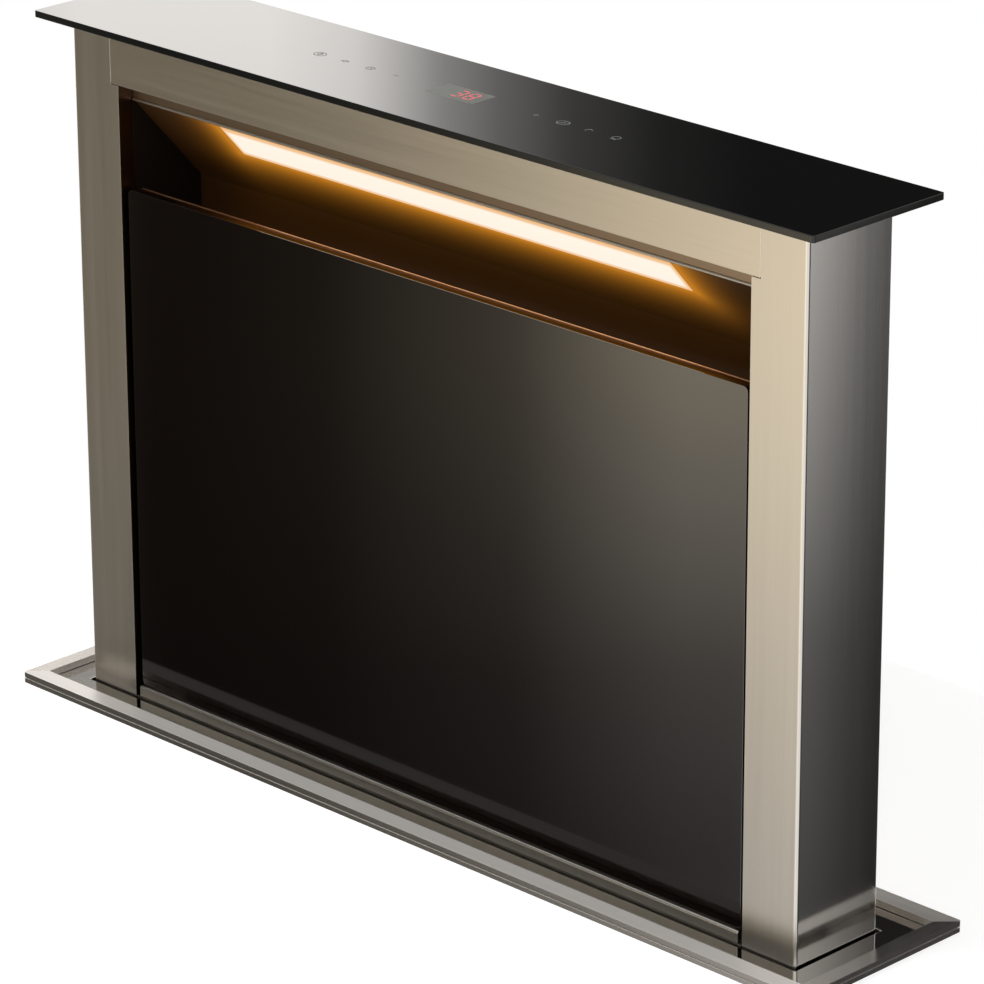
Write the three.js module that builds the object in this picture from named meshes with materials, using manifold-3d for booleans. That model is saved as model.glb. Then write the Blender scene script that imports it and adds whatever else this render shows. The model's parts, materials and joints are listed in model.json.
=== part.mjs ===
// Downdraft vent: a glass-topped riser that slides up out of a worktop, with the housing, screw lift
// and blower that hang below the worktop. Millimetres, +Z up, +X to the right, the front faces -Y.
// The origin is the centre of the worktop cut-out, on the worktop surface. The riser stands fully up.

import * as THREE from 'three';
import Module from 'manifold-3d';
import { mergeVertices } from 'three/addons/utils/BufferGeometryUtils.js';

const wasm = await Module();
wasm.setup();

// ---------------------------------------------------------------- driving sizes

// clearances
const seatGap = 0.3;            // between two pieces that are fastened or rest together
const shaftGap = 0.3;           // round a shaft in its bore
const riserGap = 1.75;          // round the riser where it passes through the recess pan
const past = 1;                 // how far a cut or a join runs past the face it meets

// worktop and trim frame
const worktopThickness = 38;
const trimHeight = 6.5;
const trimSideGap = 4.15;       // round the glass top when it has sunk into the recess
const trimLongGap = 2.5;
const trimSideRim = 10;
const trimLongRim = 11.6;
const trimCornerRadius = 1.5;
const trimGrooveLevel = 2.7;    // underside of the groove that runs round the outer edge
const trimGrooveHeight = 0.8;
const trimGrooveDepth = 0.7;

// recess pan that the glass top sinks into
const panSheet = 1.2;
const panSink = 4.5;            // pan floor below the top of the trim
const panSeatWidth = 4;         // how far the pan reaches under the trim
const panSkirtDrop = 18;
const panCollarDrop = 14;

// riser body
const riserWidth = 560;
const riserDepth = 65.3;
const riserRise = 404;          // top of the trim to the underside of the glass top
const riserTail = 80;           // riser length that stays below the worktop
const riserSheet = 1.5;
const riserFoldRadius = 2;
const stileWidth = 38;
const backReturn = 15;
const topRailHeight = 32.6;
const topRailOverlap = 6;       // top rail's end past the inner edge of each stile

// glass top with its carrier, touch board and display
const topGlassThickness = 4;
const topOverhangSide = 16.1;
const topOverhangFront = 14.6;
const topOverhangBack = 20.5;
const topShiftBack = 0.55;      // glass top's centre behind the centre of the trim
const topGlassCornerRadius = 1.5;
const carrierSheet = 1.5;
const carrierLip = 12;
const touchRowFromFront = 37.4; // centre line of the touch row behind the riser's front face
const touchPitch = 20;
const touchFirst = 53;          // first touch pad either side of the display
const touchPadsPerSide = 4;
const touchPadRadius = 6;
const touchBoardDepth = 30;
const touchBoardThickness = 1.6;
const touchWindowDepth = 22;
const touchWindowMargin = 3;    // window past the last pad
const touchBoardMargin = 5;     // board past the window
const displayWidth = 36;
const displayDepth = 19;

// intake slot: lip, slanted ceiling and light bar
const lipFromFront = 11;
const lipDrop = 9.4;            // lip's lower edge below the top rail
const ceilingSlope = 48;        // degrees below level
const linerSheet = 1.2;
const linerTailLength = 30;
const lightLength = 345;
const lightWidth = 27;
const lightFromLip = 4.5;
const lightFlange = 3;
const lightThickness = 1.2;
const lightBoardThickness = 1.6;
const lightChips = 12;
const lightChipSize = 5;
const lightChipHeight = 0.9;
const lightBoardInset = 5;      // board inside the diffuser's edge
const driverWidth = 100;
const driverDepth = 20;
const driverHeight = 30;
const driverFromCentre = 90;
const driverCeilingGap = 1.7;   // above the slanted ceiling

// front glass panel, its backing tray and bottom trim
const intakeHeight = 61.4;
const panelSideGap = 3.3;
const panelSetback = 2.3;
const panelGlassThickness = 4;
const panelCornerRadius = 3;
const panelTrimHeight = 6.6;
const panelTrimDepth = 10;
const panelTrimBevel = 1;
const panelTrimFootGap = 1.2;   // above the pan floor
const trayDepth = 5.4;
const trayInset = 2;
const traySheet = 1;
const catchWidth = 16;
const catchDepth = 7;
const catchHeight = 30;
const catchBelowTop = 34;

// air duct inside the riser, sill and grease filters
const ductSheet = 1.2;
const ductSideGap = 0.2;        // between the duct side and the stile's edge
const ductFlange = 10;
const ductFromFront = 12.3;
const sillDepth = 28;
const filterThickness = 8;
const filterCeilingGap = 18.6;  // filters' length left free under the ceiling's foot
const filterBorder = 10;
const filterRecess = 2.5;
const filterFromFront = 20;     // centre of the filters' lower edge behind the riser's front face
const filterPullWidth = 34;
const filterPullHeight = 6;
const filterPullReach = 9;
const filterPullBelowTop = 40;
const filterPullEnd = 4;        // thickness of the pull's two arms
const filterPullBar = 2;

// housing below the worktop
const housingSheet = 1.2;
const housingReturn = 14;
const plateRestGap = 0.5;       // glass top above the pan floor when the riser is down

// screw lift
const screwRadius = 5;
const screwSquareStep = 0.05;   // corners of the square at the screw's top inside its round
const screwSquareHeight = 2;
const screwEndGap = 1.2;        // under the driven screw in the gearbox
const nutRadius = 8.7;
const nutHeight = 16;
const nutCollar = 1;            // collar at the nut's top, under the crossbar
const nutCollarHeight = 4;
const crossbarDepth = 19;
const crossbarThickness = 4;
const bearingHeight = 14;
const bearingDepth = 26;
const bearingReach = 18;
const upperBearingDrop = 16;    // top of the upper bearings below the worktop
const liftEndClearance = 5;     // under the nuts at the bottom of the travel
const pulleyRadius = 8;
const pulleyWallGap = 0.575;    // between the pulleys and the housing's ends
const pulleyFlange = 1.5;
const pulleySideGap = 3;        // above and below the pulleys
const beltWidth = 10;
const beltThickness = 1.4;
const gearboxWidth = 38;
const gearboxDepth = 40;
const gearboxHeight = 34;
const gearboxBore = 14;
const liftMotorRadius = 16.5;
const liftMotorLength = 122;
const liftMotorCapRadius = 10;
const liftMotorCapLength = 8;
const railWidth = 10.3;
const railDepth = 6;
const railOffset = 25.4;        // guide rails behind the riser's centre line
const shoeHeight = 42;
const shoeDepth = 18;
const shoeWallGap = 2.25;       // between the guide shoes and the housing's ends

// blower
const blowerX = -30;            // fan axis
const blowerDrop = 300;         // fan axis below the worktop
const casingSheet = 1.5;
const casingEdge = 0.5;         // casing past the outlet spigot's flange
const casingMargin = 4;         // between the scroll and the casing walls
const impellerRadius = 95;
const impellerInner = 79;
const impellerWidth = 88;
const impellerPlate = 2;
const impellerHubRadius = 14;
const impellerHubLength = 30;
const impellerBlades = 24;
const bladeMargin = 0.5;        // blade inside the rim and the inner edge
const bladeThickness = 1.4;
const bladeLean = 32;           // degrees that the blades lean forward from radial
const impellerFromBack = 18;    // inlet side of the impeller in front of the casing's back wall
const scrollStartGap = 13;      // between impeller and scroll at the tongue
const scrollGrowth = 56;        // extra radius gained round the scroll
const scrollTurn = 282;         // degrees from the tongue to the outlet
const scrollSheet = 1.2;
const scrollSteps = 30;
const outletRadius = 72.7;
const spigotSheet = 1.8;
const spigotLength = 82;
const spigotFlange = 4;
const flapDrop = 8;             // flap hinge line below the casing
const flapThickness = 1.2;
const flapHingeOffset = 3.2;
const flapBarrelRadius = 2;
const flapEdgeGap = 1.2;
const inletThroatInset = 20;    // inlet's throat inside the impeller's rim
const inletHoleGap = 1;         // round the bell mouth
const inletRingFlange = 10;
const inletRingSheet = 1.2;
const inletBellRadius = 14;
const fanMotorRadius = 48;
const fanMotorLength = 76;
const fanMotorFlangeRadius = 62;
const fanMotorFlange = 3;
const fanShaftRadius = 5;
const fanShaftLength = 26;
const fanMotorGap = 6;          // motor in front of the impeller's plate

// control box, cable gland and worktop clamps
const controlBoxLeft = 185;
const controlBoxWidth = 105;
const controlBoxDepth = 48;
const controlBoxHeight = 200;
const controlBoxDrop = 130;
const controlBoxWall = 2.5;
const glandRadius = 9;
const glandHexRadius = 13;
const glandHexHeight = 6;
const glandDomeStep = 5;
const glandDomeEndRadius = 7;
const glandLength = 22;
const glandBore = 4;
const clampWidth = 40;
const clampSheet = 2.5;
const clampPlateHeight = 50;
const clampFootReach = 32;
const clampScrewRadius = 4;
const clampPadRadius = 9;
const clampPadThickness = 2;
const clampScrewSpare = 18;

// ---------------------------------------------------------------- worked-out places

const riserHalfX = riserWidth / 2;
const recessHalfX = riserHalfX + topOverhangSide + trimSideGap;
const recessHalfY = (riserDepth + topOverhangFront + topOverhangBack) / 2 + trimLongGap;
const trimHalfX = recessHalfX + trimSideRim;
const trimHalfY = recessHalfY + trimLongRim;
const panTop = trimHeight - panSink;
const panBottom = panTop - panSheet;
const panHalfX = recessHalfX + panSeatWidth;
const panHalfY = recessHalfY + panSeatWidth;

const riserCentreY = topShiftBack - (topOverhangBack - topOverhangFront) / 2;
const riserFront = riserCentreY - riserDepth / 2;
const riserBack = riserCentreY + riserDepth / 2;
const riserFoot = -riserTail;
const topGlassBottom = trimHeight + riserRise;
const topGlassTop = topGlassBottom + topGlassThickness;
const riserTop = topGlassBottom - seatGap;
const stileInner = riserHalfX - stileWidth;
const edgeReturn = lipFromFront - seatGap;
const railBottom = topGlassBottom - topRailHeight;
const railHalfX = stileInner + topRailOverlap;
const carrierBottom = riserTop - carrierSheet;
const liftTravel = topGlassBottom - panTop - plateRestGap;

const panelTop = railBottom - intakeHeight;
const panelHalfX = stileInner - panelSideGap;
const panelTrimBottom = panTop + panelTrimFootGap;
const sillTop = panelTrimBottom - seatGap;
const panelTrimTop = panelTrimBottom + panelTrimHeight;
const trayFront = riserFront + panelSetback + panelGlassThickness + seatGap;
const trayBack = trayFront + trayDepth;

const ductInner = stileInner + riserSheet + ductSideGap;
const ductFront = riserFront + ductFromFront;
const backInner = riserBack - riserSheet - seatGap;
const ductTop = riserTop - carrierLip - seatGap;

const housingHalfX = panHalfX - panSheet - seatGap;
const housingHalfY = panHalfY - panSheet - seatGap;
const housingInnerX = housingHalfX - housingSheet;
const housingInnerY = housingHalfY - housingSheet;
const housingTop = panBottom - seatGap;

const screwX = (riserHalfX + housingInnerX) / 2;
const screwSquare = (screwRadius - screwSquareStep) / Math.SQRT2;
const pulleyFlangeRadius = housingInnerX - screwX - pulleyWallGap;
const shoeWidth = housingInnerX - riserHalfX - seatGap - shoeWallGap;
const crossbarTop = riserFoot - seatGap;
const crossbarBottom = crossbarTop - crossbarThickness;
const nutTop = crossbarBottom - seatGap;
const nutBottom = nutTop - nutHeight;
const lowerBearingTop = nutBottom - liftTravel - liftEndClearance;
const lowerBearingBottom = lowerBearingTop - bearingHeight;
const pulleyTop = lowerBearingBottom - pulleySideGap;
const pulleyHeight = beltWidth + 2 * pulleyFlange + 2 * seatGap;
const pulleyBottom = pulleyTop - pulleyHeight;
const gearboxTop = pulleyBottom - pulleySideGap;
const gearboxBottom = gearboxTop - gearboxHeight;
const housingFloorTop = gearboxBottom - seatGap;
const housingFloorBottom = housingFloorTop - housingSheet;
const upperBearingTop = -upperBearingDrop;
const bearingInnerX = housingInnerX - seatGap - bearingReach;

const casingBack = -housingHalfY - seatGap;
const casingDepth = 2 * (outletRadius + spigotSheet + spigotFlange + casingEdge);
const casingFront = casingBack - casingDepth;
const casingCentreY = (casingBack + casingFront) / 2;
const blowerZ = -blowerDrop;
const inletThroat = impellerRadius - inletThroatInset;
const inletRadius = inletThroat + inletBellRadius + inletHoleGap;
const scrollStart = impellerRadius + scrollStartGap;
const scrollEnd = scrollStart + scrollGrowth;
const casingBottomInner = blowerZ - scrollEnd - casingMargin;
const casingBottom = casingBottomInner - casingSheet;
const outletX = blowerX + scrollEnd - scrollSheet - outletRadius;
const flapZ = casingBottom - flapDrop;
const impellerBack = casingBack - impellerFromBack;
const impellerFront = impellerBack - impellerWidth;

// ---------------------------------------------------------------- shape helpers

function solidOf(geometry) {
  const bare = geometry.clone();
  bare.deleteAttribute('normal');
  bare.deleteAttribute('uv');
  const merged = mergeVertices(bare, 1e-4);
  return new wasm.Manifold(new wasm.Mesh({
    numProp: 3,
    vertProperties: new Float32Array(merged.attributes.position.array),
    triVerts: new Uint32Array(merged.index.array),
  }));
}

function box(x0, x1, y0, y1, z0, z1) {
  const geometry = new THREE.BoxGeometry(x1 - x0, y1 - y0, z1 - z0);
  geometry.translate((x0 + x1) / 2, (y0 + y1) / 2, (z0 + z1) / 2);
  return solidOf(geometry);
}

// Turns the shape's own axes (outline x, outline y, depth) into two row axes and the prism's axis.
const prismTurn = {
  x: new THREE.Matrix4().set(0, 0, 1, 0, 1, 0, 0, 0, 0, 1, 0, 0, 0, 0, 0, 1),
  y: new THREE.Matrix4().set(1, 0, 0, 0, 0, 0, -1, 0, 0, 1, 0, 0, 0, 0, 0, 1),
  z: new THREE.Matrix4(),
};

// Outline points are [y, z] for axis x, [x, z] for axis y and [x, y] for axis z.
function prism(axis, outline, from, to, holes = []) {
  const shape = new THREE.Shape(outline.map(([u, v]) => new THREE.Vector2(u, v)));
  for (const hole of holes) {
    shape.holes.push(new THREE.Path(hole.map(([u, v]) => new THREE.Vector2(u, v))));
  }
  const geometry = new THREE.ExtrudeGeometry(shape, { depth: to - from, bevelEnabled: false });
  geometry.translate(0, 0, axis === 'y' ? -to : from);
  geometry.applyMatrix4(prismTurn[axis]);
  return solidOf(geometry);
}

function arc(cx, cy, radius, fromDegrees, toDegrees, steps) {
  return Array.from({ length: steps + 1 }, (_, i) => {
    const angle = THREE.MathUtils.degToRad(fromDegrees + (toDegrees - fromDegrees) * i / steps);
    return [cx + radius * Math.cos(angle), cy + radius * Math.sin(angle)];
  });
}

function roundedRectangle(x0, x1, y0, y1, radius, steps = 3) {
  return [
    ...arc(x1 - radius, y0 + radius, radius, -90, 0, steps),
    ...arc(x1 - radius, y1 - radius, radius, 0, 90, steps),
    ...arc(x0 + radius, y1 - radius, radius, 90, 180, steps),
    ...arc(x0 + radius, y0 + radius, radius, 180, 270, steps),
  ];
}

// Cross-section of a bent sheet: the path is one face, the other lies to its left by the thickness.
function bentSheet(path, thickness) {
  const directions = path.slice(1).map(([x, y], i) => {
    const length = Math.hypot(x - path[i][0], y - path[i][1]);
    return [(x - path[i][0]) / length, (y - path[i][1]) / length];
  });
  const farSide = path.map(([x, y], i) => {
    const before = directions[Math.max(i - 1, 0)];
    const after = directions[Math.min(i, directions.length - 1)];
    const spread = 1 + before[0] * after[0] + before[1] * after[1];
    const shift = thickness / spread;
    return [x - (before[1] + after[1]) * shift, y + (before[0] + after[0]) * shift];
  });
  return [...path, ...farSide.reverse()];
}

function mirrored(outline) {
  return outline.map(([x, y]) => [-x, y]);
}

const rodTurn = {
  x: new THREE.Matrix4().makeRotationZ(-Math.PI / 2),
  y: new THREE.Matrix4(),
  z: new THREE.Matrix4().makeRotationX(Math.PI / 2),
};

// Round bar along a row axis; u and v are its centre on the other two axes, in X, Y, Z order.
function rod(axis, radius, u, v, from, to, sides = 32) {
  const geometry = new THREE.CylinderGeometry(radius, radius, to - from, sides);
  geometry.applyMatrix4(rodTurn[axis]);
  const middle = (from + to) / 2;
  const places = { x: [middle, u, v], y: [u, middle, v], z: [u, v, middle] };
  geometry.translate(...places[axis]);
  return solidOf(geometry);
}

// Turned piece: the profile is [radius, height] points that close on themselves, either way round.
function turned(axis, profile, u, v, from, sides = 40) {
  const outline = profile.map(([radius, height]) => new THREE.Vector2(radius, height));
  if (THREE.ShapeUtils.isClockWise(outline)) outline.reverse();
  const points = [...outline, outline[0]];
  const geometry = new THREE.LatheGeometry(points, sides);
  geometry.applyMatrix4(rodTurn[axis]);
  const places = { x: [from, u, v], y: [u, from, v], z: [u, v, from] };
  geometry.translate(...places[axis]);
  return solidOf(geometry);
}

function geometryOf(solid) {
  const mesh = solid.getMesh();
  const geometry = new THREE.BufferGeometry();
  const positions = new Float32Array(mesh.numVert * 3);
  for (let i = 0; i < mesh.numVert; i += 1) {
    positions.set(mesh.vertProperties.subarray(i * mesh.numProp, i * mesh.numProp + 3), i * 3);
  }
  geometry.setAttribute('position', new THREE.BufferAttribute(positions, 3));
  geometry.setIndex(new THREE.BufferAttribute(new Uint32Array(mesh.triVerts), 1));
  geometry.computeVertexNormals();
  return geometry;
}

// ---------------------------------------------------------------- materials

const finishes = {
  steel: { color: 0xb9b0a2, metalness: 0.9, roughness: 0.38 },
  trimSteel: { color: 0xc9c3b9, metalness: 0.9, roughness: 0.3 },
  polishedSteel: { color: 0xc6c1ba, metalness: 1, roughness: 0.08 },
  galvanised: { color: 0xa9abaa, metalness: 0.8, roughness: 0.45 },
  darkLiner: { color: 0x3a2f28, metalness: 0.6, roughness: 0.5 },
  blackGlass: { color: 0x0d0c0c, metalness: 0, roughness: 0.04 },
  bronzeGlass: { color: 0x18110e, metalness: 0, roughness: 0.05 },
  aluminium: { color: 0xb8bbbd, metalness: 0.9, roughness: 0.4 },
  filterMesh: { color: 0x8f9193, metalness: 0.8, roughness: 0.55 },
  light: { color: 0xfbf0e2, metalness: 0, roughness: 0.5 },
  circuit: { color: 0x1d4a33, metalness: 0, roughness: 0.6 },
  display: { color: 0x4e5148, metalness: 0, roughness: 0.3 },
  blackPlastic: { color: 0x1c1c1d, metalness: 0, roughness: 0.55 },
  whitePlastic: { color: 0xd9d8d2, metalness: 0, roughness: 0.5 },
  brass: { color: 0xb08d4a, metalness: 0.9, roughness: 0.35 },
  screwSteel: { color: 0x9a9c9e, metalness: 1, roughness: 0.3 },
  motorPaint: { color: 0x35373a, metalness: 0.4, roughness: 0.5 },
  rubber: { color: 0x151515, metalness: 0, roughness: 0.85 },
  magnetGrey: { color: 0x55585a, metalness: 0.3, roughness: 0.6 },
};

const materials = Object.fromEntries(Object.entries(finishes).map(
  ([name, finish]) => [name, new THREE.MeshStandardMaterial({ name, ...finish })],
));

function piece(name, solid, finish) {
  const mesh = new THREE.Mesh(geometryOf(solid), materials[finish]);
  mesh.name = name;
  return mesh;
}

const sides = [{ name: 'left', sign: -1 }, { name: 'right', sign: 1 }];

// Box given by its reach from the centre plane, on the left or the right side.
function sideBox(sign, near, far, y0, y1, z0, z1) {
  return box(Math.min(sign * near, sign * far), Math.max(sign * near, sign * far), y0, y1, z0, z1);
}

// ---------------------------------------------------------------- trim and recess

function worktopFrame() {
  const plate = (inset, z0, z1) => prism('z', roundedRectangle(
    -trimHalfX + inset, trimHalfX - inset, -trimHalfY + inset, trimHalfY - inset, trimCornerRadius,
  ), z0, z1);
  const lower = plate(0, 0, trimGrooveLevel);
  const neck = plate(trimGrooveDepth, trimGrooveLevel, trimGrooveLevel + trimGrooveHeight);
  const upper = plate(0, trimGrooveLevel + trimGrooveHeight, trimHeight);
  const opening = box(-recessHalfX, recessHalfX, -recessHalfY, recessHalfY, -past, trimHeight + past);
  const seatX = panHalfX + seatGap;
  const seatY = panHalfY + seatGap;
  const seat = box(-seatX, seatX, -seatY, seatY, -past, panTop + seatGap);
  return lower.add(neck).add(upper).subtract(opening).subtract(seat);
}

function recessPan() {
  const skirtBottom = panTop - panSkirtDrop;
  const collarX = riserHalfX + riserGap;
  const collarY = riserDepth / 2 + riserGap;
  const aroundRiser = (grow, z0, z1) => box(
    -collarX - grow, collarX + grow, riserCentreY - collarY - grow, riserCentreY + collarY + grow, z0, z1,
  );
  const shell = box(-panHalfX, panHalfX, -panHalfY, panHalfY, skirtBottom, panTop);
  const inside = box(
    -panHalfX + panSheet, panHalfX - panSheet, -panHalfY + panSheet, panHalfY - panSheet,
    skirtBottom - past, panBottom,
  );
  const collar = aroundRiser(panSheet, panTop - panCollarDrop, panTop);
  return shell.subtract(inside).add(collar).subtract(aroundRiser(0, skirtBottom - past, panTop + past));
}

// ---------------------------------------------------------------- riser

function topGlass() {
  return prism('z', roundedRectangle(
    -riserHalfX - topOverhangSide, riserHalfX + topOverhangSide,
    riserFront - topOverhangFront, riserBack + topOverhangBack, topGlassCornerRadius,
  ), topGlassBottom, topGlassTop);
}

const touchRowY = riserFront + touchRowFromFront;
const touchPadX = Array.from({ length: touchPadsPerSide }, (_, i) => touchFirst + i * touchPitch);
const touchRowReach = touchPadX[touchPadsPerSide - 1] + touchPadRadius + touchWindowMargin;

function topPlateCarrier() {
  const reachX = riserHalfX - riserSheet - seatGap;
  const front = riserFront + riserSheet + seatGap;
  const tray = box(-reachX, reachX, front, backInner, riserTop - carrierLip, riserTop);
  const inside = box(
    -reachX + carrierSheet, reachX - carrierSheet, front + carrierSheet, backInner - carrierSheet,
    riserTop - carrierLip - past, carrierBottom,
  );
  const window = box(
    -touchRowReach, touchRowReach, touchRowY - touchWindowDepth / 2, touchRowY + touchWindowDepth / 2,
    carrierBottom - past, riserTop + past,
  );
  return tray.subtract(inside).subtract(window);
}

function touchBoard() {
  const top = carrierBottom - seatGap;
  const reach = touchRowReach + touchBoardMargin;
  let board = box(
    -reach, reach, touchRowY - touchBoardDepth / 2, touchRowY + touchBoardDepth / 2,
    top - touchBoardThickness, top,
  );
  for (const x of touchPadX) {
    board = board.add(rod('z', touchPadRadius, -x, touchRowY, top - past, riserTop, 16));
    board = board.add(rod('z', touchPadRadius, x, touchRowY, top - past, riserTop, 16));
  }
  return board;
}

function displayModule() {
  return box(
    -displayWidth / 2, displayWidth / 2, touchRowY - displayDepth / 2, touchRowY + displayDepth / 2,
    carrierBottom, riserTop,
  );
}

function riserSide(sign) {
  const path = [
    [stileInner, riserFront + edgeReturn],
    [stileInner, riserFront],
    ...arc(riserHalfX - riserFoldRadius, riserFront + riserFoldRadius, riserFoldRadius, -90, 0, 3),
    ...arc(riserHalfX - riserFoldRadius, riserBack - riserFoldRadius, riserFoldRadius, 0, 90, 3),
    [riserHalfX - backReturn, riserBack],
  ];
  const outline = bentSheet(path, riserSheet);
  const channel = prism('z', sign > 0 ? outline : mirrored(outline), riserFoot, riserTop);
  const notch = sideBox(
    sign, stileInner - past, railHalfX + seatGap, riserFront - past, riserFront + edgeReturn + past,
    railBottom - seatGap, riserTop + past,
  );
  return channel.subtract(notch);
}

function topRail() {
  const path = [
    [riserFront, riserTop],
    [riserFront, railBottom],
    [riserFront + edgeReturn, railBottom],
  ];
  return prism('x', bentSheet(path, riserSheet), -railHalfX, railHalfX);
}

function backPanel() {
  const reach = riserHalfX - backReturn - seatGap;
  return box(-reach, reach, riserBack - riserSheet, riserBack, riserFoot, riserTop);
}

function ductSide(sign) {
  const path = [
    [ductInner + ductFlange, ductFront],
    [ductInner, ductFront],
    [ductInner, backInner],
    [ductInner + ductFlange, backInner],
  ];
  const outline = bentSheet(path, -ductSheet);
  return prism('z', sign > 0 ? outline : mirrored(outline), riserFoot, ductTop);
}

// Points on the slanted ceiling: along it from the lip, and height above its underside.
const ceilingAngle = THREE.MathUtils.degToRad(ceilingSlope);
const lipY = riserFront + lipFromFront;
const lipBottom = railBottom - lipDrop;

function onCeiling(along, above) {
  return [
    lipY + along * Math.cos(ceilingAngle) + above * Math.sin(ceilingAngle),
    lipBottom - along * Math.sin(ceilingAngle) + above * Math.cos(ceilingAngle),
  ];
}

const linerBackY = backInner - linerSheet;
const ceilingLength = (linerBackY - lipY) / Math.cos(ceilingAngle);
const linerFootZ = onCeiling(ceilingLength, 0)[1];
const linerHalfX = ductInner - seatGap;

function ceilingStrip(halfLength, alongFrom, alongTo, aboveFrom, aboveTo) {
  return prism('x', [
    onCeiling(alongFrom, aboveFrom), onCeiling(alongTo, aboveFrom),
    onCeiling(alongTo, aboveTo), onCeiling(alongFrom, aboveTo),
  ], -halfLength, halfLength);
}

function intakeLiner() {
  const path = [
    [lipY, ductTop],
    [lipY, lipBottom],
    [linerBackY, linerFootZ],
    [linerBackY, linerFootZ - linerTailLength],
  ];
  const sheet = prism('x', bentSheet(path, linerSheet), -linerHalfX, linerHalfX);
  const window = ceilingStrip(
    lightLength / 2 + seatGap, lightFromLip - seatGap, lightFromLip + lightWidth + seatGap,
    -past, linerSheet + past,
  );
  return sheet.subtract(window);
}

const diffuserFlangeBottom = linerSheet + seatGap;
const diffuserTop = diffuserFlangeBottom + lightThickness;

function lightDiffuser() {
  const lens = ceilingStrip(
    lightLength / 2, lightFromLip, lightFromLip + lightWidth, 0, diffuserTop,
  );
  const flange = ceilingStrip(
    lightLength / 2 + lightFlange, lightFromLip - lightFlange / 2, lightFromLip + lightWidth + lightFlange,
    diffuserFlangeBottom, diffuserTop,
  );
  return lens.add(flange);
}

function lightBoard() {
  const bottom = diffuserTop + seatGap;
  const boardBottom = bottom + lightChipHeight;
  let board = ceilingStrip(
    lightLength / 2 - lightBoardInset, lightFromLip + lightBoardInset,
    lightFromLip + lightWidth - lightBoardInset, boardBottom, boardBottom + lightBoardThickness,
  );
  const chipPitch = lightLength / lightChips;
  const chipAlong = lightFromLip + lightWidth / 2;
  const half = lightChipSize / 2;
  for (let i = 0; i < lightChips; i += 1) {
    const x = (i - (lightChips - 1) / 2) * chipPitch;
    const chip = prism('x', [
      onCeiling(chipAlong - half, bottom), onCeiling(chipAlong + half, bottom),
      onCeiling(chipAlong + half, boardBottom + past), onCeiling(chipAlong - half, boardBottom + past),
    ], x - half, x + half);
    board = board.add(chip);
  }
  return board;
}

function lightDriver() {
  const front = backInner - driverDepth;
  const ceilingDrop = (front - lipY) * Math.tan(ceilingAngle);
  const bottom = lipBottom - ceilingDrop + linerSheet / Math.cos(ceilingAngle) + driverCeilingGap;
  return box(
    driverFromCentre, driverFromCentre + driverWidth, front, backInner, bottom, bottom + driverHeight,
  );
}

function frontGlass() {
  const front = riserFront + panelSetback;
  return prism('y', roundedRectangle(
    -panelHalfX, panelHalfX, panelTrimTop + seatGap, panelTop, panelCornerRadius,
  ), front, front + panelGlassThickness);
}

function backingTray() {
  const halfX = panelHalfX - trayInset;
  const bottom = panelTrimTop + seatGap + trayInset;
  const top = panelTop - trayInset / 2;
  const outer = box(-halfX, halfX, trayFront, trayBack, bottom, top);
  const hollow = box(
    -halfX + traySheet, halfX - traySheet, trayFront - past, trayBack - traySheet,
    bottom + traySheet, top - traySheet,
  );
  return outer.subtract(hollow);
}

function panelTrim() {
  return prism('x', [
    [riserFront, panelTrimBottom],
    [riserFront + panelTrimDepth, panelTrimBottom],
    [riserFront + panelTrimDepth, panelTrimTop],
    [riserFront + panelTrimBevel, panelTrimTop],
    [riserFront, panelTrimTop - panelTrimBevel],
  ], -panelHalfX, panelHalfX);
}

function panelCatch(sign) {
  const top = panelTop - catchBelowTop;
  const front = trayBack + seatGap;
  return sideBox(
    sign, linerHalfX - catchWidth, linerHalfX, front, front + catchDepth, top - catchHeight, top,
  );
}

function lowerFrontPanel() {
  const path = [
    [riserFront, riserFoot],
    [riserFront, sillTop],
    [riserFront + sillDepth, sillTop],
  ];
  const reach = stileInner - seatGap;
  return prism('x', bentSheet(path, -riserSheet), -reach, reach);
}

// A filter stands on the sill and leans back until its top edge meets the liner's tail.
const filterLength = linerFootZ - sillTop - filterCeilingGap;
const filterHalf = filterThickness / 2;
const filterFootY = riserFront + filterFromFront;
const filterTopReach = linerBackY - seatGap - filterFootY;
const filterTilt = Math.asin(filterTopReach / Math.hypot(filterLength, filterHalf))
  - Math.atan2(filterHalf, filterLength);
const filterFootZ = sillTop + seatGap + filterHalf * Math.sin(filterTilt);

function greaseFilter(sign) {
  const near = seatGap / 2;
  const far = linerHalfX;
  const middle = (near + far) / 2;
  const meshBox = (y0, y1) => sideBox(
    sign, near + filterBorder, far - filterBorder, y0, y1, filterBorder, filterLength - filterBorder,
  );
  const frame = sideBox(sign, near, far, -filterHalf, filterHalf, 0, filterLength);
  const pullTop = filterLength - filterPullBelowTop;
  const pull = sideBox(
    sign, middle - filterPullWidth / 2, middle + filterPullWidth / 2,
    -filterHalf - filterPullReach, 0, pullTop - filterPullHeight, pullTop,
  );
  const fingerRoom = sideBox(
    sign, middle - filterPullWidth / 2 + filterPullEnd, middle + filterPullWidth / 2 - filterPullEnd,
    -filterHalf - filterPullReach + filterPullBar, -filterHalf + filterRecess,
    pullTop - filterPullHeight - past, pullTop + past,
  );
  return frame
    .subtract(meshBox(-filterHalf - past, -filterHalf + filterRecess))
    .subtract(meshBox(filterHalf - filterRecess, filterHalf + past))
    .add(pull.subtract(fingerRoom));
}

// ---------------------------------------------------------------- screw lift

const crossbarReach = screwX + nutRadius;

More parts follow.
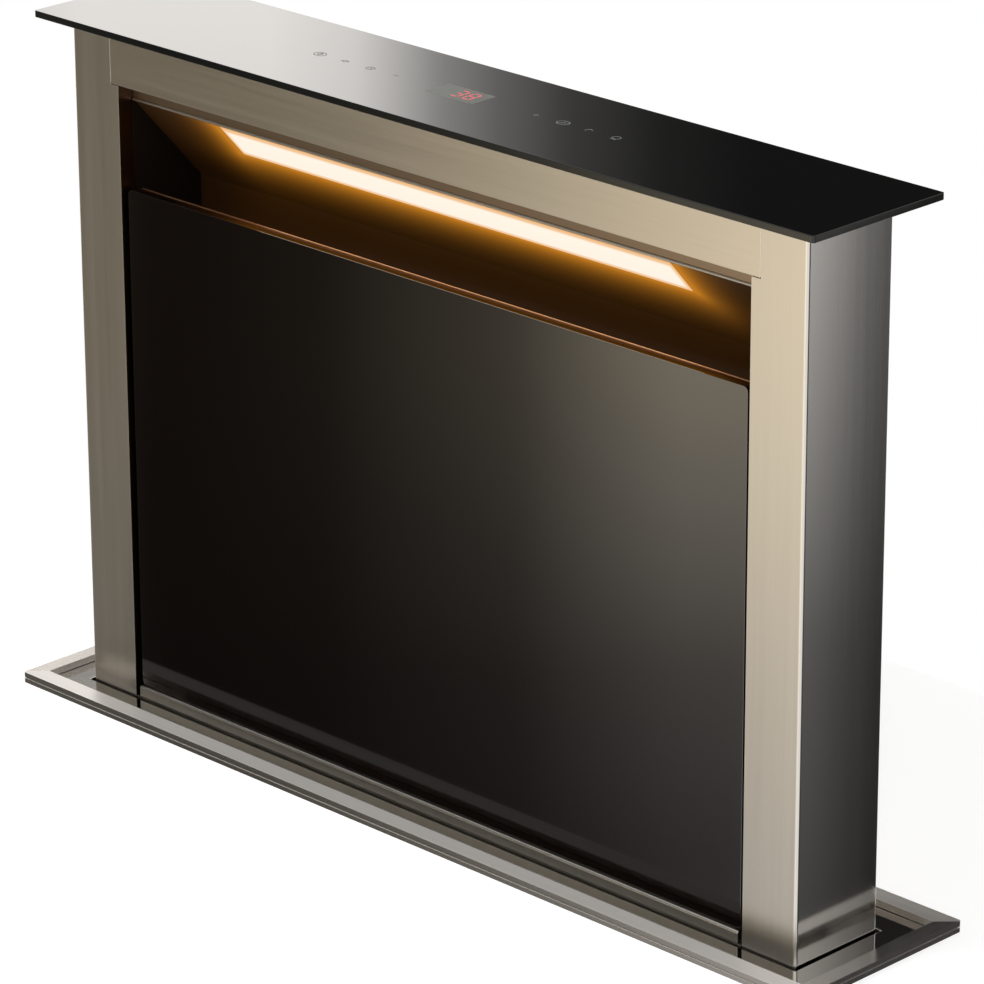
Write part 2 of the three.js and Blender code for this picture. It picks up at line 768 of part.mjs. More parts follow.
function liftCrossbar() {
  const bar = box(
    -crossbarReach, crossbarReach, riserCentreY - crossbarDepth / 2, riserCentreY + crossbarDepth / 2,
    crossbarBottom, crossbarTop,
  );
  const hole = (sign) => rod(
    'z', screwRadius + shaftGap, sign * screwX, riserCentreY, crossbarBottom - past, crossbarTop + past,
  );
  return bar.subtract(hole(-1)).subtract(hole(1));
}

function liftNut(sign) {
  const bore = screwRadius + shaftGap;
  return turned('z', [
    [bore, 0], [nutRadius - nutCollar, 0], [nutRadius - nutCollar, nutHeight - nutCollarHeight],
    [nutRadius, nutHeight - nutCollarHeight], [nutRadius, nutHeight], [bore, nutHeight],
  ], sign * screwX, riserCentreY, nutBottom, 32);
}

function guideRail(sign) {
  const outer = housingInnerX - seatGap;
  const y = riserCentreY + railOffset;
  return sideBox(
    sign, outer - railWidth, outer, y - railDepth / 2, y + railDepth / 2, lowerBearingBottom, upperBearingTop,
  );
}

function guideShoe(sign) {
  const inner = riserHalfX + seatGap;
  const y = riserCentreY + railOffset;
  const railInner = housingInnerX - seatGap - railWidth;
  const block = sideBox(
    sign, inner, inner + shoeWidth, y - shoeDepth / 2, y + shoeDepth / 2, riserFoot, riserFoot + shoeHeight,
  );
  const slot = sideBox(
    sign, railInner - shaftGap, inner + shoeWidth + past, y - railDepth / 2 - shaftGap,
    y + railDepth / 2 + shaftGap, riserFoot - past, riserFoot + shoeHeight + past,
  );
  return block.subtract(slot);
}

function screwBearing(sign, bottom) {
  const block = sideBox(
    sign, bearingInnerX, housingInnerX - seatGap, riserCentreY - bearingDepth / 2,
    riserCentreY + bearingDepth / 2, bottom, bottom + bearingHeight,
  );
  const bore = rod(
    'z', screwRadius + shaftGap, sign * screwX, riserCentreY, bottom - past, bottom + bearingHeight + past,
  );
  return block.subtract(bore);
}

const shortScrewFoot = pulleyBottom;
const drivenScrewFoot = gearboxTop - gearboxBore + screwEndGap;

function leadScrew(sign) {
  const foot = sign > 0 ? drivenScrewFoot : shortScrewFoot;
  const shank = rod('z', screwRadius, sign * screwX, riserCentreY, foot, upperBearingTop, 24);
  const square = box(
    sign * screwX - screwSquare, sign * screwX + screwSquare, riserCentreY - screwSquare,
    riserCentreY + screwSquare, upperBearingTop - past, upperBearingTop + screwSquareHeight,
  );
  return shank.add(square);
}

function screwPulley(sign) {
  const bore = screwRadius + shaftGap;
  const groove = pulleyFlange + beltWidth + 2 * seatGap;
  return turned('z', [
    [bore, 0], [pulleyFlangeRadius, 0], [pulleyFlangeRadius, pulleyFlange], [pulleyRadius, pulleyFlange],
    [pulleyRadius, groove], [pulleyFlangeRadius, groove], [pulleyFlangeRadius, pulleyHeight],
    [bore, pulleyHeight],
  ], sign * screwX, riserCentreY, pulleyBottom, 32);
}

function driveBelt() {
  const loop = (radius) => [
    ...arc(screwX, riserCentreY, radius, -90, 90, 12),
    ...arc(-screwX, riserCentreY, radius, 90, 270, 12),
  ];
  const inner = pulleyRadius + seatGap;
  const bottom = pulleyBottom + pulleyFlange + seatGap;
  return prism('z', loop(inner + beltThickness), bottom, bottom + beltWidth, [loop(inner)]);
}

const gearboxOuter = housingInnerX - seatGap;
const gearboxInner = gearboxOuter - gearboxWidth;

function liftGearbox() {
  const body = box(
    gearboxInner, gearboxOuter, riserCentreY - gearboxDepth / 2, riserCentreY + gearboxDepth / 2,
    gearboxBottom, gearboxTop,
  );
  const bore = rod(
    'z', screwRadius + shaftGap, screwX, riserCentreY, gearboxTop - gearboxBore, gearboxTop + past,
  );
  return body.subtract(bore);
}

function liftMotor() {
  const outer = gearboxInner - seatGap;
  const z = gearboxBottom + liftMotorRadius;
  const canEnd = outer - liftMotorLength;
  const can = rod('x', liftMotorRadius, riserCentreY, z, canEnd, outer);
  const cap = rod('x', liftMotorCapRadius, riserCentreY, z, canEnd - liftMotorCapLength, canEnd + past);
  return can.add(cap);
}

// ---------------------------------------------------------------- housing

function housingFront() {
  const panel = box(
    -housingHalfX, housingHalfX, -housingHalfY, -housingInnerY, housingFloorTop + seatGap, housingTop,
  );
  const inlet = rod('y', inletRadius, blowerX, blowerZ, -housingHalfY - past, -housingInnerY + past, 48);
  return panel.subtract(inlet);
}

function housingBack() {
  return box(
    -housingHalfX, housingHalfX, housingInnerY, housingHalfY, housingFloorTop + seatGap, housingTop,
  );
}

function housingEnd(sign) {
  const reachY = housingInnerY - seatGap;
  const path = [
    [housingHalfX - housingReturn, -reachY],
    [housingHalfX, -reachY],
    [housingHalfX, reachY],
    [housingHalfX - housingReturn, reachY],
  ];
  const outline = bentSheet(path, housingSheet);
  return prism('z', sign > 0 ? outline : mirrored(outline), housingFloorTop + seatGap, housingTop);
}

function housingFloor() {
  return box(
    -housingHalfX, housingHalfX, -housingHalfY, housingHalfY, housingFloorBottom, housingFloorTop,
  );
}

function worktopClamp(sign) {
  const inner = housingHalfX + seatGap;
  const footTop = -worktopThickness - clampScrewSpare;
  const screwAt = inner + clampFootReach - clampPadRadius;
  const halfY = clampWidth / 2;
  const path = [
    [inner, footTop - clampPlateHeight],
    [inner, footTop],
    [inner + clampFootReach, footTop],
  ];
  const outline = bentSheet(path, -clampSheet);
  const bracket = prism('y', sign > 0 ? outline : mirrored(outline), -halfY, halfY);
  const padTop = -worktopThickness - seatGap;
  const screw = rod('z', clampScrewRadius, sign * screwAt, 0, footTop - clampScrewSpare, padTop - past, 16);
  const pad = rod('z', clampPadRadius, sign * screwAt, 0, padTop - clampPadThickness, padTop, 20);
  return bracket.add(screw).add(pad);
}

// ---------------------------------------------------------------- blower

// Scroll outline seen from the front: clockwise from the tongue under the fan to the outlet side.
function scrollPath() {
  const tongueDegrees = scrollTurn - 360;
  return Array.from({ length: scrollSteps + 1 }, (_, i) => {
    const turn = i / scrollSteps;
    const angle = THREE.MathUtils.degToRad(tongueDegrees - scrollTurn * turn);
    const radius = scrollStart + scrollGrowth * turn;
    return [blowerX + radius * Math.cos(angle), blowerZ + radius * Math.sin(angle)];
  });
}

function casing() {
  const path = scrollPath();
  const left = Math.min(...path.map(([x]) => x)) - casingMargin;
  const right = blowerX + scrollEnd + casingMargin;
  const top = Math.max(...path.map(([, z]) => z)) + casingMargin;
  return { left, right, top };
}

function blowerCasing() {
  const { left, right, top } = casing();
  const front = casingFront + casingSheet + seatGap;
  const shell = box(
    left - casingSheet, right + casingSheet, front, casingBack, casingBottom, top + casingSheet,
  );
  const inside = box(left, right, front - past, casingBack - casingSheet, casingBottomInner, top);
  const inlet = rod(
    'y', inletRadius, blowerX, blowerZ, casingBack - casingSheet - past, casingBack + past, 48,
  );
  const outlet = rod(
    'z', outletRadius, outletX, casingCentreY, casingBottom - past, casingBottomInner + past, 48,
  );
  return shell.subtract(inside).subtract(inlet).subtract(outlet);
}

function blowerCover() {
  const { left, right, top } = casing();
  const plate = box(
    left - casingSheet, right + casingSheet, casingFront, casingFront + casingSheet,
    casingBottom, top + casingSheet,
  );
  const hole = rod(
    'y', fanMotorRadius + shaftGap, blowerX, blowerZ,
    casingFront - past, casingFront + casingSheet + past, 40,
  );
  return plate.subtract(hole);
}

function scrollWall() {
  const footZ = casingBottomInner + seatGap;
  const [tongueX, tongueZ] = scrollPath()[0];
  const path = [
    [tongueX, footZ],
    [tongueX, tongueZ - scrollStartGap],
    ...scrollPath(),
    [blowerX + scrollEnd, footZ],
  ];
  return prism('y', bentSheet(path, -scrollSheet), casingFront + casingSheet + 2 * seatGap,
    casingBack - casingSheet - seatGap);
}

function inletRing() {
  const flangeBack = casingBack - casingSheet - seatGap;
  const outer = inletRadius + inletRingFlange;
  const bellCentre = inletThroat + inletBellRadius;
  return turned('y', [
    [outer, 0],
    ...arc(bellCentre, -inletBellRadius, inletBellRadius, 90, 180, 5),
    ...arc(bellCentre, -inletBellRadius, inletBellRadius - inletRingSheet, 180, 90, 5),
    [outer, -inletRingSheet],
  ], blowerX, blowerZ, flangeBack, 48);
}

function impeller() {
  const hubEnd = impellerFront + impellerHubLength;
  const plateBack = impellerFront + impellerPlate;
  const disc = rod('y', impellerRadius, blowerX, blowerZ, impellerFront, plateBack, 48);
  const ring = turned('y', [
    [impellerInner, 0], [impellerRadius, 0], [impellerRadius, impellerPlate], [impellerInner, impellerPlate],
  ], blowerX, blowerZ, impellerBack - impellerPlate, 48);
  const hub = rod('y', impellerHubRadius, blowerX, blowerZ, impellerFront, hubEnd, 24);
  const radialLength = impellerRadius - impellerInner - 2 * bladeMargin;
  const blade = new THREE.BoxGeometry(radialLength, impellerWidth - impellerPlate, bladeThickness);
  blade.applyMatrix4(new THREE.Matrix4().makeRotationY(THREE.MathUtils.degToRad(bladeLean)));
  blade.translate((impellerRadius + impellerInner) / 2, 0, 0);
  let wheel = disc.add(ring).add(hub);
  for (let i = 0; i < impellerBlades; i += 1) {
    const copy = blade.clone();
    copy.applyMatrix4(new THREE.Matrix4().makeRotationY(2 * Math.PI * i / impellerBlades));
    copy.translate(blowerX, (impellerBack + impellerFront) / 2, blowerZ);
    wheel = wheel.add(solidOf(copy));
  }
  const bore = rod(
    'y', fanShaftRadius + shaftGap, blowerX, blowerZ, impellerFront - past, hubEnd + past, 24,
  );
  return wheel.subtract(bore);
}

function fanMotor() {
  const flangeBack = casingFront - seatGap;
  const motorBack = impellerFront - fanMotorGap;
  const can = rod('y', fanMotorRadius, blowerX, blowerZ, motorBack - fanMotorLength, motorBack, 40);
  const flange = rod(
    'y', fanMotorFlangeRadius, blowerX, blowerZ, flangeBack - fanMotorFlange, flangeBack, 40,
  );
  const shaft = rod('y', fanShaftRadius, blowerX, blowerZ, motorBack - past, motorBack + fanShaftLength, 24);
  return can.add(flange).add(shaft);
}

const spigotTop = casingBottom - seatGap;

function outletSpigot() {
  const outer = outletRadius + spigotSheet;
  const tube = turned('z', [
    [outletRadius, -spigotLength], [outer, -spigotLength], [outer, -spigotSheet],
    [outer + spigotFlange, -spigotSheet], [outer + spigotFlange, 0], [outletRadius, 0],
  ], outletX, casingCentreY, spigotTop, 48);
  const barHalf = flapHingeOffset - flapBarrelRadius - shaftGap;
  const bar = box(
    outletX - barHalf, outletX + barHalf, casingCentreY - outletRadius - spigotSheet / 2,
    casingCentreY + outletRadius + spigotSheet / 2, flapZ - flapBarrelRadius, flapZ + flapBarrelRadius,
  );
  return tube.add(bar);
}

function damperFlap(sign) {
  const axisX = outletX + sign * flapHingeOffset;
  const radius = outletRadius - flapEdgeGap;
  const disc = rod(
    'z', radius, outletX, casingCentreY, flapZ - flapThickness / 2, flapZ + flapThickness / 2, 48,
  );
  const half = sideHalf(disc, axisX, sign);
  const barrelReach = Math.sqrt(outletRadius ** 2 - (flapHingeOffset + flapBarrelRadius) ** 2) - shaftGap;
  const barrel = rod(
    'y', flapBarrelRadius, axisX, flapZ, casingCentreY - barrelReach, casingCentreY + barrelReach, 16,
  );
  return half.add(barrel);
}

function sideHalf(disc, fromX, sign) {
  const reach = 2 * outletRadius;
  const keep = box(
    Math.min(fromX, fromX + sign * reach), Math.max(fromX, fromX + sign * reach),
    casingCentreY - reach, casingCentreY + reach, flapZ - reach, flapZ + reach,
  );
  return disc.intersect(keep);
}

// ---------------------------------------------------------------- control box

const controlBoxBottom = -controlBoxDrop - controlBoxHeight;
const glandX = controlBoxLeft + controlBoxWidth / 2;
const glandY = casingBack - controlBoxDepth / 2;

function controlBox() {
  const shell = box(
    controlBoxLeft, controlBoxLeft + controlBoxWidth, casingBack - controlBoxDepth, casingBack,
    controlBoxBottom, -controlBoxDrop,
  );
  const inside = box(
    controlBoxLeft + controlBoxWall, controlBoxLeft + controlBoxWidth - controlBoxWall,
    casingBack - controlBoxDepth + controlBoxWall, casingBack - controlBoxWall,
    controlBoxBottom + controlBoxWall, -controlBoxDrop - controlBoxWall,
  );
  const glandHole = rod(
    'z', glandRadius + shaftGap, glandX, glandY,
    controlBoxBottom - past, controlBoxBottom + controlBoxWall + past, 24,
  );
  return shell.subtract(inside).subtract(glandHole);
}

function cableGland() {
  const hexTop = controlBoxBottom - seatGap;
  const neck = rod(
    'z', glandRadius, glandX, glandY, hexTop - past, controlBoxBottom + 2 * controlBoxWall, 24,
  );
  const hex = rod('z', glandHexRadius, glandX, glandY, hexTop - glandHexHeight, hexTop, 6);
  const domeHeight = glandLength - glandHexHeight + past;
  const dome = turned('z', [
    [glandBore, 0], [glandDomeEndRadius, 0], [glandRadius, glandDomeStep], [glandRadius, domeHeight],
    [glandBore, domeHeight],
  ], glandX, glandY, hexTop - glandLength, 24);
  const bore = rod(
    'z', glandBore, glandX, glandY, hexTop - glandLength - past, controlBoxBottom + 3 * controlBoxWall, 24,
  );
  return neck.add(hex).add(dome).subtract(bore);
}

// ---------------------------------------------------------------- assembly

const vent = new THREE.Group();
const riser = new THREE.Group();
const lift = new THREE.Group();
const housing = new THREE.Group();
const blower = new THREE.Group();
vent.add(housing, lift, blower, riser);

housing.add(
  piece('worktop_frame', worktopFrame(), 'trimSteel'),
  piece('recess_pan', recessPan(), 'polishedSteel'),
  piece('housing_front_panel', housingFront(), 'galvanised'),
  piece('housing_back_panel', housingBack(), 'galvanised'),
  piece('housing_floor', housingFloor(), 'galvanised'),
  piece('control_box', controlBox(), 'blackPlastic'),
  piece('cable_gland', cableGland(), 'blackPlastic'),
);

riser.add(
  piece('glass_top_plate', topGlass(), 'blackGlass'),
  piece('top_plate_carrier', topPlateCarrier(), 'aluminium'),
  piece('touch_control_board', touchBoard(), 'circuit'),
  piece('display_module', displayModule(), 'display'),
  piece('riser_top_rail', topRail(), 'steel'),
  piece('riser_back_panel', backPanel(), 'steel'),
  piece('intake_liner', intakeLiner(), 'darkLiner'),
  piece('led_diffuser', lightDiffuser(), 'light'),
  piece('led_board', lightBoard(), 'whitePlastic'),
  piece('led_driver', lightDriver(), 'blackPlastic'),
  piece('front_glass_panel', frontGlass(), 'bronzeGlass'),
  piece('glass_backing_tray', backingTray(), 'aluminium'),
  piece('panel_bottom_trim', panelTrim(), 'steel'),
  piece('lower_front_panel', lowerFrontPanel(), 'steel'),
  piece('lift_crossbar', liftCrossbar(), 'screwSteel'),
);

lift.add(
  piece('drive_belt', driveBelt(), 'rubber'),
  piece('lift_gearbox', liftGearbox(), 'motorPaint'),
  piece('lift_motor', liftMotor(), 'motorPaint'),
);

for (const { name, sign } of sides) {
  housing.add(
    piece(`housing_end_${name}`, housingEnd(sign), 'galvanised'),
    piece(`worktop_clamp_${name}`, worktopClamp(sign), 'galvanised'),
    piece(`guide_rail_${name}`, guideRail(sign), 'screwSteel'),
  );
  riser.add(
    piece(`riser_side_${name}`, riserSide(sign), 'steel'),
    piece(`duct_side_${name}`, ductSide(sign), 'darkLiner'),
    piece(`panel_catch_${name}`, panelCatch(sign), 'magnetGrey'),
    piece(`lift_nut_${name}`, liftNut(sign), 'brass'),
    piece(`guide_shoe_${name}`, guideShoe(sign), 'whitePlastic'),
  );
  lift.add(
    piece(`screw_bearing_upper_${name}`, screwBearing(sign, upperBearingTop - bearingHeight), 'blackPlastic'),
    piece(`screw_bearing_lower_${name}`, screwBearing(sign, lowerBearingBottom), 'blackPlastic'),
    piece(`lead_screw_${name}`, leadScrew(sign), 'screwSteel'),
    piece(`screw_pulley_${name}`, screwPulley(sign), 'aluminium'),
  );
  const filter = piece(`grease_filter_${name}`, greaseFilter(sign), 'filterMesh');
  filter.position.set(0, filterFootY, filterFootZ);
  filter.rotation.x = -filterTilt;
  riser.add(filter);
  blower.add(piece(`damper_flap_${name}`, damperFlap(sign), 'blackPlastic'));
}

blower.add(
  piece('blower_casing', blowerCasing(), 'galvanised'),
  piece('blower_cover', blowerCover(), 'galvanised'),
  piece('scroll_wall', scrollWall(), 'galvanised'),
  piece('inlet_ring', inletRing(), 'blackPlastic'),
  piece('impeller', impeller(), 'blackPlastic'),
  piece('fan_motor', fanMotor(), 'motorPaint'),
  piece('outlet_spigot', outletSpigot(), 'blackPlastic'),
);

export default vent;
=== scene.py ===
# Looks of the downdraft vent: steel riser with a lit intake slot, glass top and front, trim frame,
# sheet housing, screw lift and blower. Metres, +Z up, the front faces -Y, the worktop surface is Z = 0.
# The helpers that make or change a shape take millimetres.

import json
import math

import bpy
from mathutils import Matrix, Vector


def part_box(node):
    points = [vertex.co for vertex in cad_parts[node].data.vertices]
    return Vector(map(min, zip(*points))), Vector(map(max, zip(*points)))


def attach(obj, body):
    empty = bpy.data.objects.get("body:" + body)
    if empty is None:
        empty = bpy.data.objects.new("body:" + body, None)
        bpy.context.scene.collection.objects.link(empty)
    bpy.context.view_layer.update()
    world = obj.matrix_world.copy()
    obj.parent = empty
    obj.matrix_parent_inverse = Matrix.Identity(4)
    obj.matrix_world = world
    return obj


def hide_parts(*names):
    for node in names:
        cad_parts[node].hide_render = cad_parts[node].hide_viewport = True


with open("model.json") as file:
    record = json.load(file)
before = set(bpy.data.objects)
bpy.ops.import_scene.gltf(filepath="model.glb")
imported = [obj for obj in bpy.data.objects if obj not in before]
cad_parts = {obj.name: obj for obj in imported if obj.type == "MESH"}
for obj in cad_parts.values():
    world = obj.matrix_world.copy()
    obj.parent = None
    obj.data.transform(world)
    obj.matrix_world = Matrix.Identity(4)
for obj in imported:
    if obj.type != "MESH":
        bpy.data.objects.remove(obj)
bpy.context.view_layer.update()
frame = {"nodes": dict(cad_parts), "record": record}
nodes = frame["nodes"]
body_of = {
    node: body
    for body, members in frame["record"]["behaviour"]["bodies"].items()
    for node in members
}
slot_of = {entry["node"]: entry["material_slot"] for entry in frame["record"]["subparts"]}
MM = 0.001
LEFT, RIGHT = -1, 1
SIDE = {LEFT: "left", RIGHT: "right"}
SIDEWAYS, FORWARD, BACKWARD, UPWARD = (1, 0, 0), (0, -1, 0), (0, 1, 0), (0, 0, 1)


# ---------------------------- camera

camera_place = Vector((1.92788, -1.90928, 1.22417))
camera_azimuth = 0.78476
camera_elevation = 0.3653
camera_roll = -0.00415
camera_lens = 192.07


def add_camera():
    data = bpy.data.cameras.new("camera")
    data.lens = camera_lens
    data.sensor_width = 36
    data.clip_end = 50
    camera = bpy.data.objects.new("camera", data)
    bpy.context.scene.collection.objects.link(camera)
    level = math.cos(camera_elevation)
    back = Vector((
        math.sin(camera_azimuth) * level, -math.cos(camera_azimuth) * level, math.sin(camera_elevation),
    ))
    across = Vector(UPWARD).cross(back).normalized()
    upward = back.cross(across)
    right = math.cos(camera_roll) * across + math.sin(camera_roll) * upward
    up = -math.sin(camera_roll) * across + math.cos(camera_roll) * upward
    turn = Matrix((right, up, back)).transposed().to_4x4()
    camera.matrix_world = Matrix.Translation(camera_place) @ turn
    bpy.context.scene.camera = camera


# ---------------------------- mesh helpers

merge_distance = 1e-6
flat_angle = math.radians(0.3)
bevel_angle = math.radians(28)


def place(*millimetres):
    return tuple(part * MM for part in millimetres)


def deselect():
    if bpy.context.object and bpy.context.object.mode != "OBJECT":
        bpy.ops.object.mode_set(mode="OBJECT")
    bpy.ops.object.select_all(action="DESELECT")


def select(piece):
    deselect()
    piece.select_set(True)
    bpy.context.view_layer.objects.active = piece


def edit(piece, action="SELECT"):
    """Enters edit mode with all of the piece selected, or with none of it."""
    select(piece)
    bpy.ops.object.mode_set(mode="EDIT")
    bpy.ops.mesh.select_all(action=action)


def leave_edit():
    bpy.ops.object.mode_set(mode="OBJECT")


def settle(piece):
    select(piece)
    bpy.ops.object.transform_apply(location=True, rotation=True, scale=True)


def apply_modifiers(piece):
    select(piece)
    for modifier in list(piece.modifiers):
        bpy.ops.object.modifier_apply(modifier=modifier.name)


def smooth(piece, degrees=32):
    """Smooth shading that leaves the flat faces flat."""
    select(piece)
    bpy.ops.object.shade_smooth_by_angle(angle=math.radians(degrees))
    flat = piece.modifiers.new("flat faces", "WEIGHTED_NORMAL")
    flat.keep_sharp = True
    flat.weight = 100
    apply_modifiers(piece)


def ease_edges(piece, width, segments=2):
    bevel = piece.modifiers.new("eased edges", "BEVEL")
    bevel.width = width * MM
    bevel.segments = segments
    bevel.limit_method = "ANGLE"
    bevel.angle_limit = bevel_angle
    bevel.use_clamp_overlap = True
    apply_modifiers(piece)
    smooth(piece)


def copy_of(node):
    """A merged copy of a CAD solid, with its flat faces whole again."""
    piece = bpy.data.objects.new(f"{node}_finished", nodes[node].data.copy())
    piece.data.materials.clear()
    bpy.context.scene.collection.objects.link(piece)
    edit(piece)
    bpy.ops.mesh.remove_doubles(threshold=merge_distance)
    bpy.ops.mesh.customdata_custom_splitnormals_clear()
    bpy.ops.mesh.dissolve_limited(angle_limit=flat_angle)
    leave_edit()
    return piece


def mend_normals(piece):
    edit(piece)
    bpy.ops.mesh.remove_doubles(threshold=merge_distance)
    bpy.ops.mesh.normals_make_consistent(inside=False)
    leave_edit()


def paint(piece, finish):
    piece.data.materials.clear()
    piece.data.materials.append(finish)


def paint_faces(piece, finish, wanted):
    """Gives the wanted faces a finish of their own."""
    piece.data.materials.append(finish)
    for face in piece.data.polygons:
        if wanted(face):
            face.material_index = len(piece.data.materials) - 1


def own(piece, node):
    """A loose detail that rides with the body of the CAD node it sits on."""
    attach(piece, body_of[node])


def stand_for(piece, node):
    own(piece, node)
    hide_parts(node)


def cut(piece, cutter):
    modifier = piece.modifiers.new("cut", "BOOLEAN")
    modifier.object = cutter
    modifier.operation = "DIFFERENCE"
    modifier.solver = "EXACT"
    apply_modifiers(piece)
    bpy.data.objects.remove(cutter)


def dress(node, finish, edge=0.3, cutters=()):
    """A finished copy of a CAD solid, which stands for it."""
    piece = copy_of(node)
    for cutter in cutters:
        cut(piece, cutter)
    ease_edges(piece, edge)
    paint(piece, finish)
    stand_for(piece, node)
    return piece


def block(name, low, high, finish=None):
    low, high = Vector(place(*low)), Vector(place(*high))
    bpy.ops.mesh.primitive_cube_add(size=1, location=(low + high) / 2)
    piece = bpy.context.object
    piece.name = name
    piece.scale = high - low
    settle(piece)
    if finish:
        paint(piece, finish)
    return piece


def cylinder(name, radius, start, end, sides=32, finish=None):
    start, end = Vector(place(*start)), Vector(place(*end))
    bpy.ops.mesh.primitive_cylinder_add(
        vertices=sides, radius=radius * MM, depth=(end - start).length, location=(start + end) / 2,
    )
    piece = bpy.context.object
    piece.name = name
    piece.rotation_mode = "QUATERNION"
    piece.rotation_quaternion = (end - start).to_track_quat("Z", "Y")
    settle(piece)
    if finish:
        paint(piece, finish)
    return piece


def pick_faces(piece, wanted):
    """Enters edit mode with only the wanted faces selected."""
    edit(piece, "DESELECT")
    bpy.ops.mesh.select_mode(type="FACE")
    leave_edit()
    for face in piece.data.polygons:
        face.select = wanted(face)
    bpy.ops.object.mode_set(mode="EDIT")


def raise_faces(rise):
    bpy.ops.mesh.extrude_region_move(TRANSFORM_OT_translate={"value": (0, 0, rise * MM)})


def step_in(inset, rise):
    """Insets the selected faces and raises the inner ones."""
    bpy.ops.mesh.inset(thickness=inset * MM)
    raise_faces(rise)


def join(pieces, name):
    deselect()
    for piece in pieces:
        piece.select_set(True)
    bpy.context.view_layer.objects.active = pieces[0]
    if len(pieces) > 1:
        bpy.ops.object.join()
    pieces[0].name = name
    return pieces[0]


def turned(piece, angle, axis, centre):
    """Turns a piece made around the origin and moves it to centre."""
    piece.data.transform(Matrix.Rotation(angle, 4, axis))
    piece.data.transform(Matrix.Translation(place(*centre)))
    return piece


def set_out(name, model, node, faces):
    """Copies of one small model as one piece on the node's body. faces gives the points by direction."""
    copies = []
    for direction, points in faces.items():
        turn = Vector(direction).to_track_quat("Z", "Y").to_matrix().to_4x4()
        for point in points:
            copy = bpy.data.objects.new(name, model.data.copy())
            copy.data.transform(Matrix.Translation(Vector(point) * MM) @ turn)
            bpy.context.scene.collection.objects.link(copy)
            copies.append(copy)
    own(join(copies, name), node)


# ---------------------------- shader groups

WHITE, BLACK = (1, 1, 1, 1), (0, 0, 0, 1)


def new_group(name, inputs, outputs):
    """A group with a Vector input and those named. A tuple makes a colour socket, a number a value."""
    group = bpy.data.node_groups.new(name, "ShaderNodeTree")
    group.interface.new_socket("Vector", in_out="INPUT", socket_type="NodeSocketVector")
    for label, value in inputs.items():
        kind = "NodeSocketColor" if isinstance(value, tuple) else "NodeSocketFloat"
        socket = group.interface.new_socket(label, in_out="INPUT", socket_type=kind)
        socket.default_value = value
    for label in outputs:
        kind = "NodeSocketColor" if label == "Color" else "NodeSocketFloat"
        group.interface.new_socket(label, in_out="OUTPUT", socket_type=kind)
    given = group.nodes.new("NodeGroupInput").outputs
    return group, given, group.nodes.new("NodeGroupOutput").inputs


def feed(tree, value, socket):
    """Sets a socket to a number or a colour, or links another socket to it."""
    if isinstance(value, (int, float)):
        socket.default_value = value
    elif isinstance(value, tuple):
        socket.default_value = (*value, 1)
    else:
        tree.links.new(value, socket)


def map_range(tree, source, low, high, to_low, to_high, curve="LINEAR"):
    node = tree.nodes.new("ShaderNodeMapRange")
    node.interpolation_type = curve
    node.inputs["From Min"].default_value = low
    node.inputs["From Max"].default_value = high
    node.inputs["To Min"].default_value = to_low
    node.inputs["To Max"].default_value = to_high
    tree.links.new(source, node.inputs["Value"])
    return node.outputs["Result"]


def calc(tree, operation, first, second=0.0):
    node = tree.nodes.new("ShaderNodeMath")
    node.operation = operation
    feed(tree, first, node.inputs[0])
    feed(tree, second, node.inputs[1])
    return node.outputs["Value"]


def hypotenuse(tree, *sides):
    squares = [calc(tree, "MULTIPLY", side, side) for side in sides]
    return calc(tree, "SQRT", calc(tree, "ADD", *squares))


def tint(tree, color, factor):
    """color times a grey factor."""
    node = tree.nodes.new("ShaderNodeVectorMath")
    node.operation = "SCALE"
    tree.links.new(color, node.inputs["Vector"])
    tree.links.new(factor, node.inputs["Scale"])
    return node.outputs["Vector"]


def mix_colors(tree, factor, first, second):
    node = tree.nodes.new("ShaderNodeMix")
    node.data_type = "RGBA"
    for value, index in ((factor, 0), (first, 6), (second, 7)):
        feed(tree, value, node.inputs[index])
    return node.outputs[2]


def noise(tree, vector, scale, detail=2.0, roughness=0.5):
    node = tree.nodes.new("ShaderNodeTexNoise")
    feed(tree, scale, node.inputs["Scale"])
    node.inputs["Detail"].default_value = detail
    node.inputs["Roughness"].default_value = roughness
    tree.links.new(vector, node.inputs["Vector"])
    return node.outputs["Fac"]


def split_axes(tree, vector):
    node = tree.nodes.new("ShaderNodeSeparateXYZ")
    tree.links.new(vector, node.inputs["Vector"])
    return node.outputs["X"], node.outputs["Y"], node.outputs["Z"]


def mapped(tree, vector, label, value):
    """The vector moved or stretched by a Mapping node's Location or Scale."""
    node = tree.nodes.new("ShaderNodeMapping")
    node.inputs[label].default_value = value
    tree.links.new(vector, node.inputs["Vector"])
    return node.outputs["Vector"]


def put_out(group, given, out, swing, gloss=1.0):
    """Puts out the given colour and roughness, both changed by the swing."""
    color = tint(group, given["Color"], calc(group, "ADD", swing, 1.0))
    roughness = calc(group, "ADD", given["Roughness"], calc(group, "MULTIPLY", swing, gloss))
    group.links.new(color, out["Color"])
    group.links.new(roughness, out["Roughness"])


def grain_group():
    """Brushed lines. The vector comes in stretched along the brushing."""
    group, given, out = new_group(
        "brushed grain", {"Color": WHITE, "Roughness": 0.3, "Grain": 0.1}, ("Color", "Roughness", "Height"),
    )
    fine = noise(group, given["Vector"], 1.0, 3.0, 0.6)
    broad = noise(group, given["Vector"], 0.16)
    centred = calc(group, "SUBTRACT", calc(group, "ADD", fine, broad), 1.0)
    put_out(group, given, out, calc(group, "MULTIPLY", centred, given["Grain"]), 0.6)
    group.links.new(fine, out["Height"])
    return group


